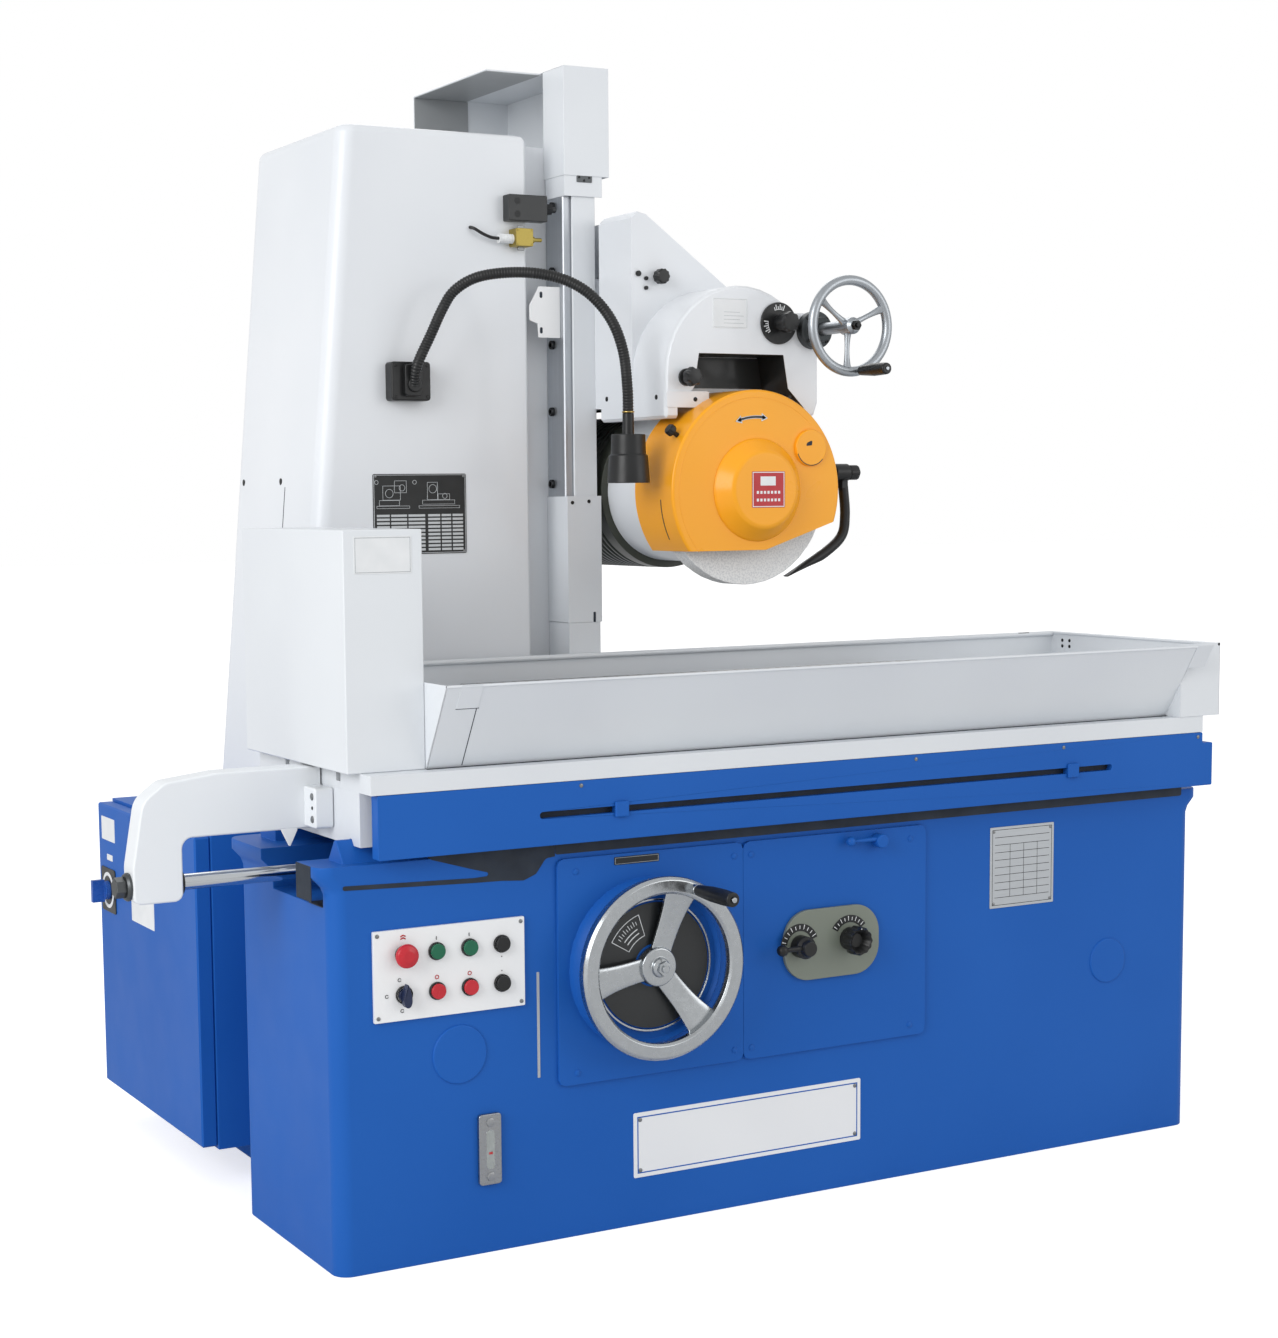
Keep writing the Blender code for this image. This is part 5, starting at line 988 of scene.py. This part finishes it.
crown = np.linspace(0, math.pi / 2, 7)
columnGrid = [columnRing(z, 0) for z in np.linspace(c["foot"], c["top"] - 0.016, 8)]
columnGrid += [columnRing(c["top"] - 0.016 + 0.016 * math.sin(t), 0.016 * (1 - math.cos(t))) for t in crown[1:]]
webOutline = [(-0.335, 0.3303), (-0.1662, 0.3303), (-0.1662, 0.4302), (-0.2200, 0.4302), (-0.2200, 0.5198),
              (-0.1662, 0.5198), (-0.1662, 0.6197), (-0.335, 0.6197)]
stand("columnCasting", "column_casting", together(
    rings(np.stack(columnGrid)), slab("Z", webOutline, 0.7003, 1.883, 0.0015, 2),
    slab("Z", rectangle(-0.335, -0.1662, 0.3303, 0.6197, 0.002), c["foot"], 0.7008, 0.0010, 1)), greyEnamel, 30)
columnFace = c["front"]
extra("columnPlate", plate("Y", columnFace, (-0.602, -0.417, 1.139, 1.283), 0.0010, 0.003), blackInk,
      "column_casting")
drawing = columnFace - 0.0008


def lineRing(x, z, radius, width=0.0008):
    return slab("Y", arcBand(np.array((x, z)), radius - width, radius, 0, 359, 20), drawing - 0.0003,
                drawing + 0.0002,
                0.0001, 1)


def lineBox(left, right, low, high, width=0.0007):
    return border("Y", drawing, (left, right, low, high), width, 0.0003)


extra("columnPlateLines", together(
    border("Y", drawing, (-0.6005, -0.4185, 1.1405, 1.2815), 0.0010, 0.0003),
    *[lineBox(*edges) for edges in ((-0.590, -0.550, 1.226, 1.236), (-0.583, -0.548, 1.236, 1.262),
                                    (-0.560, -0.536, 1.249, 1.271), (-0.595, -0.530, 1.221, 1.226),
                                    (-0.505, -0.440, 1.228, 1.236), (-0.495, -0.474, 1.236, 1.268),
                                    (-0.474, -0.450, 1.236, 1.247), (-0.512, -0.430, 1.221, 1.226))],
    *[lineRing(*spot) for spot in ((-0.570, 1.248, .008), (-0.545, 1.258, .006), (-0.484, 1.256, .008),
                                   (-0.460, 1.243, .005), (-0.595, 1.268, .004), (-0.520, 1.268, .004))],
    *[plate("Y", drawing, (left, right, z, z + 0.0042), 0.0003, 0)
      for z in np.arange(1.1450, 1.2120, 0.0068) for left, right in ((-0.595, -0.570), (-0.567, -0.536),
                                                                     (-0.533, -0.500), (-0.494, -0.470),
                                                                     (-0.467, -0.448), (-0.445, -0.424))]),
      silverInk, "column_casting")
extra("columnPlateScrews", screwsAt("Y", drawing, [(x, z) for x in (-0.5965, -0.4225) for z in (1.1435, 1.2785)],
                                    0.0022), zincScrew, "column_casting")
sideAt = c["leftFoot"] + (c["leftTop"] - c["leftFoot"]) * (1.272 - c["foot"]) / (c["top"] - c["foot"])
extra("columnSideScrews", together(*[turned("X", (y, 1.272), [(sideAt + 0.004, 0.0062), (sideAt - 0.0006, 0.0062),
                                                            (sideAt - 0.0014, 0)], 24) for y in (0.650, 0.459)]),
      blackScrew, "column_casting")
seam = np.array([(sideAt + 0.115 * (z - 1.272) / (c["top"] - c["foot"]), 0.436, z)
                 for z in np.linspace(1.10, 1.262, 8)])
extra("columnSeam", swept(seam, circle(0.0009, 6), None, (0, 1, 0)), darkSlotAndShadow, "column_casting")
extra("railBolts", together(*[socketScrew((-0.2200, y, z), "X", -1, 0.0082, 0.0060) for y, z in (
    (0.298, 1.772), (0.301, 1.654), (0.304, 1.520), (0.307, 1.397), (0.310, 1.263))]), blackScrew,
      "front_guide_rail")
extra("railBracket", slab("Y", filleted([(-0.2640, 1.6240), (-0.2202, 1.6240), (-0.2202, 1.5310), (-0.2650, 1.5310),
                                         (-0.2665, 1.5560), (-0.2830, 1.5620), (-0.2830, 1.5900), (-0.2700, 1.6120)],
                                        [.002, .001, .001, .002, .003, .004, .008, .006], 3), 0.2755, 0.2785, 0.0004,
                          1), whiteEnamel, "front_guide_rail")
extra("bracketSlots", together(*[plate("Y", 0.2755, (-0.2625, -0.2570, z, z + 0.0115), 0.0004, 0.0026)
                                 for z in (1.6030, 1.5385)]), darkSlotAndShadow, "front_guide_rail")
print("column details made")

# covers of the vertical ways
cover = {"left": -0.2223, "right": -0.1280, "front": 0.2500, "sheet": 0.0020, "low": 1.824, "top": 2.020,
         "step": 1.787, "wing": -0.335, "rear": 0.655, "rail": 0.330}
h = cover
stand("guideHood", "guide_hood", together(
    roundBox((h["left"], h["front"], h["low"]), (h["right"], h["front"] + h["sheet"], h["top"]), 0.0006, 1),
    roundBox((h["left"], h["front"] + 0.0004, h["low"]), (h["left"] + h["sheet"], h["rail"], h["top"] - 0.0004),
             0.0006, 1),
    roundBox((h["right"] - h["sheet"], h["front"] + 0.0004, h["low"]), (h["right"], h["rear"], h["top"] - 0.0004),
             0.0006, 1),
    roundBox((h["left"], h["front"] + 0.0004, h["top"] - h["sheet"]), (h["right"], h["rear"], h["top"] - 0.0002),
             0.0006, 1),
    roundBox((h["wing"], h["rail"] + 0.010, h["top"] - 2 * h["sheet"]), (h["right"] - 0.001, h["rear"],
                                                                         h["top"] - 0.0012), 0.0006, 1),
    roundBox((h["wing"], h["rear"] - h["sheet"], 1.8955), (h["right"], h["rear"] + 0.0004, h["top"] - 0.0015),
             0.0006, 1),
    roundBox((h["left"] + 0.0012, h["front"] + 0.0014, h["step"]), (-0.1425, h["front"] + 0.0030, h["low"] + 0.010),
             0.0005, 1),
    roundBox((h["left"] + 0.0012, h["front"] + 0.0018, h["step"]), (h["left"] + 0.0030, h["rail"] - 0.004,
                                                                    h["low"] + 0.010), 0.0005, 1)), sheetEnamel, 30)
# Darker grey liners under the hood's top and on its back wall: painted shade inside the hood.
extra("hoodInside", together(
    roundBox((h["wing"] + 0.0005, h["rail"] + 0.0105, h["top"] - 0.0050), (h["left"] - 0.001, h["rear"] - 0.003,
                                                                         h["top"] - 0.0040), 0.0002, 1),
    roundBox((h["wing"] + 0.0005, h["rear"] - 0.0030, 1.8975), (h["left"] + 0.004, h["rear"] - 0.0021,
                                                              h["top"] - 0.0050), 0.0002, 1)), hoodShadeEnamel,
      "guide_hood")
extra("hoodClip", plate("Y", h["front"] + 0.0014, (-0.1960, -0.1640, 1.8125, 1.8255), 0.0012, 0.002), nutSteel,
      "guide_hood")
extra("hoodClipScrews", screwsAt("Y", h["front"] + 0.0002, [(-0.1910, 1.8215), (-0.1700, 1.8215), (-0.1805, 1.8160)],
                                 0.0024), blackScrew, "guide_hood")
extra("coverFoot", together(
    roundBox((-0.2203, 0.2506, 0.900), (-0.1541, 0.2513, 1.0045), 0.0002, 1),
    roundBox((-0.2213, 0.2507, 0.900), (-0.2204, 0.3290, 1.0045), 0.0002, 1)), sheetEnamel, "lower_guide_cover")
extra("coverScrews", screwsAt("Y", 0.2500, [(-0.2120, 1.2280), (-0.1770, 1.2300)], 0.0036), blackScrew,
      "lower_guide_cover")
extra("coverSlot", plate("Y", 0.2500, (-0.1695, -0.1645, 1.005, 1.024), 0.0005, 0.0015), darkSlotAndShadow,
      "lower_guide_cover")

stand("wayCoverStrip", "way_cover_strip", roundBox((-0.2045, 0.2546, 1.090), (-0.1560, 0.2604, 1.885), 0.0012, 2,
                                                   0.002),
      sheetEnamel)

# table skirt: upper part shorter than the lower, long dog slot, top-edge screws
skirt = {"front": -0.2400, "back": -0.2163, "left": -0.8320, "right": 0.9170, "step": 0.8915, "foot": 0.6743,
         "top": 0.7774, "shelf": 0.7570, "slot": (-0.546, 0.665, 0.7193, 0.7307)}
k = skirt
outer = filleted([(k["left"], k["foot"]), (k["right"], k["foot"]), (k["right"], k["shelf"]), (k["step"], k["shelf"]),
                  (k["step"], k["top"]), (k["left"], k["top"])], 0.0030, 5)
inner = filleted([(k["slot"][0], k["slot"][2]), (k["slot"][1], k["slot"][2]), (k["slot"][1], k["slot"][3]),
                  (k["slot"][0], k["slot"][3])], 0.0054, 8)
loops = [(outer, k["back"]), (outer, k["front"] + 0.0015), (inset(outer, 0.0004), k["front"] + 0.0004),
         (inset(outer, 0.0015), k["front"]), (inner, k["front"]), (inner, k["front"] + 0.0140)]
stand("tableSkirt", "table_front_skirt", rings(np.stack([onAxis("Y", loop, y) for loop, y in loops]), caps=(True,
    True)),
      blueEnamel, 30)
extra("skirtSlotBack", plate("Y", k["front"] + 0.0136, (k["slot"][0], k["slot"][1], k["slot"][2], k["slot"][3]),
                             0.0004, 0.005), darkSlotAndShadow, "table_front_skirt")
extra("skirtScrews", screwsAt("Y", k["front"], [(x, 0.7690) for x in (-0.469, 0.210, 0.548, 0.879)], 0.0036),
      zincScrew, "table_front_skirt")

# rod arm with its rounded elbow and flange, the rod's nut
arm = {"left": -1.166, "leg": -1.084, "right": -0.8433, "foot": 0.605, "under": 0.706, "top": 0.807,
       "front": -0.043, "back": 0.007}
a = arm
elbow = filleted([(a["left"], a["foot"]), (a["leg"], a["foot"]), (a["leg"], a["under"]), (a["right"], a["under"]),
                  (a["right"], a["top"]), (-1.020, a["top"]), (-1.110, 0.7965), (-1.148, 0.768), (a["left"], 0.664)],
                 [.014, .014, .018, .002, .002, .12, .030, .040, .06], 8)
stand("rodArm", "rod_arm", together(slab("Y", elbow, a["front"], a["back"], 0.0035, 3),
                                    roundBox((-0.8753, -0.090, 0.710), (a["right"], 0.054, 0.776), 0.003, 3, 0.005,
                                             "X")), armEnamel)
extra("armScrews", screwsAt("X", -0.8753, [(-0.0765, 0.7615), (-0.0765, 0.7245)], 0.0062), zincScrew, "rod_arm")
extra("armPin", screwsAt("X", -0.8753, [(-0.0765, 0.7430)], 0.0032), blackScrew, "rod_arm")
extra("armPointer", slab("Y", filleted([(-0.917, 0.7075), (-0.902, 0.6765), (-0.887, 0.7075)], 0.002, 3), -0.0428,
                         -0.0400, 0.0004, 1), whiteEnamel, "rod_arm")
rodAt = (-0.018, 0.632)
stand("pistonRod", "piston_rod", together(
    turned("X", rodAt, filleted([(-1.1890, 0), (-1.1890, 0.0096), (-1.1730, 0.0104), (-1.1650, 0.0104),
                                 (-1.1650, 0.0118), (-1.0830, 0.0118), (-1.0830, 0.0128), (0.1590, 0.0128), (0.1590,
                                     0)],
                                [0, .002, 0, 0, 0, 0, .0004, .001, 0], 3, closed=False), 40)), hardChrome)
extra("rodNut", together(slab("X", circle(0.0170, 6, start=0.3) + rodAt, -1.1900, -1.1732, 0.0014, 3),
                         turned("X", rodAt, filleted([(-1.1740, 0), (-1.1740, 0.0200), (-1.1700, 0.0228),
                                                      (-1.1662, 0.0228), (-1.1662, 0)], [0, .001, .001, .0005, 0], 3,
                                                     closed=False), 40)), nutSteel, "piston_rod")
extra("rodSeal", turned("X", rodAt, [(-1.0840, 0.0120), (-1.0840, 0.0200), (-1.0790, 0.0195), (-1.0785, 0.0132)], 36),
      blackRubber, "rod_arm")
print("table and arm made")

# bed front: plates, bosses, painted shadow under the lip and under the skirt
bedFace, apronFace = -0.2050, -0.2113
extra("infoPlate", plate("Y", bedFace, (0.406, 0.556, 0.475, 0.626), 0.0012, 0.002), plateAluminium, "bed_casting")
extra("infoPlateLines", together(
    border("Y", bedFace - 0.0010, (0.411, 0.551, 0.480, 0.621), 0.0010, 0.0004),
    *[plate("Y", bedFace - 0.0010, (0.417, 0.545, z, z + 0.0010), 0.0004, 0)
      for z in (0.606, 0.592, 0.578, 0.564, 0.550, 0.536, 0.522, 0.508, 0.494)],
    *[plate("Y", bedFace - 0.0010, (x, x + 0.0009, 0.494, 0.592), 0.0004, 0) for x in (0.452, 0.484, 0.516)]),
      blackInk, "bed_casting")
extra("infoPlateScrews", screwsAt("Y", bedFace - 0.0010, [(x, z) for x in (0.4145, 0.5475) for z in (0.4835, 0.6175)],
                                  0.0032), zincScrew, "bed_casting")
extra("frontPlate", plate("Y", bedFace, (-0.355, 0.116, 0.083, 0.196), 0.0012, 0.003), whiteEnamel, "bed_casting")
extra("frontPlateBorder", border("Y", bedFace - 0.0010, (-0.348, 0.109, 0.090, 0.189), 0.0022, 0.0004), blueEnamel,
      "bed_casting")
extra("frontPlateScrews", screwsAt("Y", bedFace - 0.0010, [(x, z) for x in (-0.3425, 0.1035)
                                                          for z in (0.0955, 0.1835)], 0.0040), zincScrew,
      "bed_casting")
extra("apronPlate", plate("Y", apronFace, (-0.392, -0.305, 0.6265, 0.6400), 0.0010, 0.002), blackInk,
      "left_apron_plate")
extra("apronPlateBorder", border("Y", apronFace - 0.0008, (-0.3905, -0.3065, 0.6278, 0.6387), 0.0008, 0.0004),
      silverInk, "left_apron_plate")
for node, places in (("left_apron_plate", (-0.465, -0.155)), ("right_apron_plate", (-0.120, 0.220))):
    extra(node.split("_")[0] + "ApronScrews", screwsAt("Y", apronFace, [(x, z) for x in places
                                                                       for z in (0.622, 0.282)], 0.0056),
          blueEnamel, node)


def boss(centre, radius, height):
    # a blind cover swelling from the cast wall: flat middle, rim rounded by a quarter circle
    t = np.linspace(0, math.pi / 2, 7)
    profile = [(bedFace - height, 0)] + [(bedFace - height * math.cos(a), radius - height * (1 - math.sin(a)))
                                         for a in t] + [(bedFace + 0.001, radius)]
    return turned("Y", centre, profile, 64)


extra("bedBosses", together(boss((-0.680, 0.340), 0.049, 0.0032), boss((0.691, 0.349), 0.043, 0.0030)), blueEnamel,
      "bed_casting", 60)
extra("bedStrip", plate("Y", bedFace, (-0.5375, -0.5325, 0.282, 0.460), 0.0008, 0.001), plateAluminium, "bed_casting")
# Painted shadow: a thin dark band under the bed's lip that widens into the shade under the skirt.
extra("bedGroove", slab("Y", filleted([(-0.879, 0.6268), (-0.650, 0.6190), (-0.600, 0.6180), (-0.559, 0.6150),
                                       (-0.536, 0.6240), (-0.518, 0.6480), (-0.5005, 0.6500), (-0.5005, 0.6720),
                                       (-0.735, 0.6720), (-0.728, 0.6640), (-0.650, 0.6410), (-0.605, 0.6290),
                                       (-0.650, 0.6270), (-0.879, 0.6340)],
                                      [.003, .01, .01, .012, .012, .012, 0, 0, .002, .02, .02, .004, .02, .003], 4),
                        bedFace - 0.0006, bedFace + 0.0004, 0.0001, 1), darkSlotAndShadow, "bed_casting")
# Painted shadow under the skirt along the bed's front.
extra("skirtGap", plate("Y", bedFace, (-0.500, 0.872, 0.6525, 0.6730), 0.0006, 0.004), darkSlotAndShadow, "bed_casting")
extra("troughShade", together(
    slab("X", filleted([(-0.1740, 0.6080), (-0.1125, 0.6080), (-0.1125, 0.6645), (-0.1740, 0.6645)], 0.001, 2),
         -0.9206, -0.9190, 0.0002, 1),
    slab("Z", rectangle(-0.9000, -0.8260, -0.1700, -0.1130, 0.002, 2), 0.5965, 0.5985, 0.0003, 1)), darkSlotAndShadow,
      "bed_casting")
print("bed front made")

# splash tray and box: bare label, corner clips, seams, rolled rims
extra("boxLabel", plate("Y", -0.2010, (-0.848, -0.749, 1.122, 1.181), 0.0006, 0.002), labelPaper, "splash_box")
extra("boxLabelBorder", border("Y", -0.2014, (-0.846, -0.751, 1.124, 1.179), 0.0010, 0.0004), silverInk,
      "splash_box")

tray = {"left": -0.7300, "seam": 0.832, "right": 0.9300, "floor": 0.8093, "rim": 0.9480, "foot": -0.2030,
        "lip": -0.2850, "corner": -0.2420, "back": 0.2430, "sheet": 0.0020}
y = tray
slope = (y["lip"] - y["foot"]) / (y["rim"] - y["floor"])


def leaning(z, out=0.0):
    # the slanted front wall: y falls evenly from its foot to its rim
    return y["foot"] + slope * (z - y["floor"]) - out


def onFront(left, right, low, high, out):
    return slab("X", np.array([(leaning(low, out), low), (leaning(low, -0.0002), low), (leaning(high, -0.0002), high),
                               (leaning(high, out), high)]), left, right, 0.0003, 1)


def bar(start, end, radius):
    return swept(np.linspace(start, end, 4), circle(radius, 14), None,
                 (0, 1, 0) if abs(end[0] - start[0]) > 0.01 else (1, 0, 0))


t = y["sheet"]
crossing = y["floor"] + (y["corner"] - y["foot"]) / slope
stand("splashTray", "splash_tray", together(
    slab("X", np.array([(y["foot"], y["floor"]), (y["foot"] + t, y["floor"]), (y["lip"] + t, y["rim"]),
                        (y["lip"], y["rim"])]), y["left"], y["seam"], 0.0004, 1),
    roundBox((y["seam"] - 0.001, y["corner"], y["floor"]), (y["right"], y["corner"] + t, y["rim"]), 0.0005, 1),
    slab("X", np.array([(y["foot"], y["floor"]), (y["corner"], y["floor"]), (y["corner"], crossing)]),
         y["seam"] - 0.0015, y["seam"], 0.0001, 1),
    slab("X", np.array([(y["corner"], crossing), (y["corner"], y["rim"]), (y["lip"], y["rim"])]),
         y["seam"] - 0.0015, y["seam"], 0.0001, 1),
    roundBox((y["right"] - t, y["corner"], y["floor"]), (y["right"], y["back"], y["rim"]), 0.0005, 1),
    roundBox((y["left"], y["back"] - t, y["floor"]), (y["right"], y["back"], y["rim"]), 0.0005, 1),
    slab("X", np.array([(y["foot"], y["floor"]), (y["back"], y["floor"]), (y["back"], y["rim"]),
                        (y["lip"], y["rim"])]), y["left"], y["left"] + t, 0.0004, 1),
    roundBox((y["left"], y["foot"], y["floor"]), (y["right"], y["back"], y["floor"] + t), 0.0005, 1),
    bar((y["left"], y["lip"] + 0.0022, y["rim"] - 0.0022), (y["seam"], y["lip"] + 0.0022, y["rim"] - 0.0022), 0.0026),
    bar((y["left"], y["back"] - 0.0048, y["rim"] - 0.0048), (y["right"], y["back"] - 0.0048, y["rim"] - 0.0048),
        0.0048),
    bar((y["right"] - 0.0030, y["corner"], y["rim"] - 0.0030), (y["right"] - 0.0030, y["back"], y["rim"] - 0.0030),
        0.0030),
    onFront(-0.7050, -0.6670, 0.9090, 0.9475, 0.0016), onFront(y["seam"] - 0.001, 0.8720, 0.9050, 0.9475, 0.0012)),
      sheetEnamel, 30)
extra("traySeams", together(onFront(-0.6690, -0.6674, 0.8120, 0.9090, 0.0004),
                            onFront(-0.7052, -0.6640, 0.9078, 0.9090, 0.0006),
                            slab("Z", rectangle(y["left"], 0.889, -0.2075, y["foot"] + 0.001, 0.0005, 1), 0.8088,
                                 0.8100,
                                 0.0002, 1)), darkSlotAndShadow, "splash_tray")
extra("trayLatch", roundBox((0.833, 0.2345, 0.9405), (0.862, 0.2425, 0.9475), 0.0010, 2), blackPlastic, "splash_tray")
extra("trayScrews", screwsAt("X", y["right"] - t, [(v, z) for v in (0.186, 0.208) for z in (0.918, 0.930)], 0.0036),
      blackScrew, "splash_tray")
print("tray and box made")

# cabinet: labels, switch plate and its ring
doorFace = -0.9243
extra("cabinetLabels", together(plate("X", doorFace, (0.832, 0.915, 0.572, 0.618), 0.0008, 0.002),
                                plate("X", doorFace, (0.850, 0.885, 0.533, 0.545), 0.0008, 0.002),
                                plate("X", doorFace, (0.600, 0.735, 0.435, 0.500), 0.0008, 0.002)), labelPaper,
      "cabinet_door")
switchAt = np.array(across("main_switch", "X"))
extra("switchPlate", slab("X", rectangle(0.834, 0.922, 0.429, 0.517, 0.006), doorFace - 0.0022, doorFace + 0.0005,
                          0.001, 2), blackPlastic, "cabinet_door")
extra("switchRing", rings(np.stack([onAxis("X", circle(q, 60) + switchAt, x) for x, q in (
    (doorFace - 0.0018, 0.0285), (doorFace - 0.0028, 0.0288), (doorFace - 0.0028, 0.0357), (doorFace - 0.0018,
        0.036))]),
                          closeAlong=True), whiteInk, "cabinet_door")
print("cabinet details made")

# chuck: pole pitch lines across the ground top
chuckTop = 0.9116
extra("chuckPoles", together(*[slab("Z", rectangle(x - 0.0016, x + 0.0016, -0.138, 0.138, 0.0008, 2),
                                    chuckTop - 0.001,
                                    chuckTop + 0.00012, 0.00005, 1) for x in np.arange(-0.470, 0.471, 0.0235)]),
      poleBrass, "magnetic_chuck")
extra("chuckScrews", together(*[socketScrew((x, -0.1500, z), "Y", -1, 0.0052, 0.0030) for x in (-0.44, -0.15, 0.15,
    0.44)
                                for z in (0.830,)]), blackScrew, "magnetic_chuck")


# every remaining node keeps its CAD shape with rounded edges
carriedFinish = {
    "front_guide_rail": groundSteel, "rear_guide_rail": groundSteel, "lift_screw": turnedSteel,
    "magnetic_chuck": chuckSteel, "hydraulic_cylinder": darkEnamel, "table_casting": sheetEnamel,
    "splash_box": sheetEnamel, "lower_guide_cover": sheetEnamel, "spindle": turnedSteel,
    "main_switch": bluePlastic,
}
slotFinish = {
    "blue_paint": blueEnamel, "pale_grey_paint": greyEnamel, "white_panel": whiteEnamel,
    "yellow_paint": yellowEnamel, "machined_steel": polishedSteel, "dark_cast_iron": darkEnamel,
    "black_plastic": blackPlastic, "red_plastic": redPlastic, "green_plastic": greenPlastic,
    "vitrified_abrasive": whiteAlumina, "olive_panel": oliveEnamel, "yellow_chromate": chromateBrass,
}
edgeWidth = {
    "bed_casting": 0.004, "saddle_casting": 0.003, "lower_guide_cover": 0.0006, "splash_box": 0.0007,
    "limit_switch_cable": 0, "hydraulic_cylinder": 0.001,
}
for node in sorted(nodeBody):
    if node not in replacedNodes:
        refined(node, node + "_finished", carriedFinish.get(node, slotFinish[nodeSlot[node]]),
                edgeWidth.get(node, 0.0012))
print("carried nodes finished")


# stage, lamps and camera
def stageMesh(name, points, faces, finish):
    data = bpy.data.meshes.new(name)
    data.from_pydata(points, [], faces)
    data.materials.append(finish)
    made = bpy.data.objects.new(name, data)
    bpy.context.scene.collection.objects.link(made)
    return made


stage = {"floorHalf": 40.0, "floorColour": "#dcdcdc", "floorGlow": 0.62, "worldStrength": 0.78,
         "key": 190.0, "fill": 42.0, "rim": 34.0}
floorFinish, floorTree, floorShader, _ = newFinish("paleStudioFloor", Roughness=0.9)
floorShader.inputs["Base Color"].default_value = linear(stage["floorColour"])
floorShader.inputs["Specular IOR Level"].default_value = 0.1
floorShader.inputs["Emission Color"].default_value = (1, 1, 1, 1)
floorRays = addNode(floorTree, "ShaderNodeLightPath")
floorGlow = addNode(floorTree, "ShaderNodeMath", {"operation": "MULTIPLY", 1: stage["floorGlow"]},
                    {0: floorRays.outputs["Is Camera Ray"]})
floorTree.links.new(floorGlow.outputs["Value"], floorShader.inputs["Emission Strength"])
h = stage["floorHalf"]
stageMesh("studioFloor", [(-h, -h, 0), (h, -h, 0), (h, h, 0), (-h, h, 0)], [(0, 1, 2, 3)], floorFinish)

world = bpy.data.worlds.new("studioWorld")
bpy.context.scene.world = world
world.use_nodes = True
sky = world.node_tree.nodes["Background"]
rays = addNode(world.node_tree, "ShaderNodeLightPath")
seen = addNode(world.node_tree, "ShaderNodeMath", {"operation": "MAXIMUM"}, {0: rays.outputs["Is Camera Ray"],
                                                                             1: rays.outputs["Is Transmission Ray"]})
level = addNode(world.node_tree, "ShaderNodeMapRange", {"To Min": stage["worldStrength"], "To Max": 1.0},
                {"Value": seen.outputs["Value"]})
sky.inputs["Color"].default_value = (1, 1, 1, 1)
world.node_tree.links.new(level.outputs["Result"], sky.inputs["Strength"])


def areaLamp(name, place, aim, size, power):
    data = bpy.data.lights.new(name, "AREA")
    data.shape, data.size, data.size_y, data.energy = "RECTANGLE", size[0], size[1], power
    made = bpy.data.objects.new(name, data)
    made.location = place
    made.rotation_euler = (Vector(aim) - Vector(place)).to_track_quat("-Z", "Y").to_euler()
    bpy.context.scene.collection.objects.link(made)


areaLamp("keyLamp", (-5.8, -2.2, 3.2), (0, 0, 1.0), (3.5, 3.5), stage["key"])
areaLamp("fillLamp", (3.2, -4.6, 2.4), (0, 0, 0.9), (3.0, 3.0), stage["fill"])
areaLamp("rimLamp", (1.5, 4.0, 4.5), (0, 0, 1.2), (3.0, 2.0), stage["rim"])

view = {"place": (-2.2542, -3.4827, 1.2390), "yaw": 28.24, "pitch": 5.95, "roll": -0.62, "focal": 2281.0,
        "centre": (557.2, 734.6), "frame": (1278, 1338)}
cameraData = bpy.data.cameras.new("studioCamera")
longSide = max(view["frame"])
cameraData.sensor_width = 36.0
cameraData.lens = view["focal"] * cameraData.sensor_width / longSide
cameraData.shift_x = (view["frame"][0] / 2 - view["centre"][0]) / longSide
cameraData.shift_y = (view["centre"][1] - view["frame"][1] / 2) / longSide
cameraData.clip_end = 200.0
camera = bpy.data.objects.new("studioCamera", cameraData)
bpy.context.scene.collection.objects.link(camera)
yaw, pitch, roll = (math.radians(view[key]) for key in ("yaw", "pitch", "roll"))
ahead = Vector((math.sin(yaw) * math.cos(pitch), math.cos(yaw) * math.cos(pitch), -math.sin(pitch)))
level = Vector((math.cos(yaw), -math.sin(yaw), 0))
upward = level.cross(ahead)
right = level * math.cos(roll) + upward * math.sin(roll)
upward = right.cross(ahead)
turn = Matrix((right, upward, -ahead)).transposed().to_4x4()
camera.matrix_world = Matrix.Translation(view["place"]) @ turn
bpy.context.scene.camera = camera
bpy.context.scene.view_settings.view_transform = "Standard"
print("stage ready")
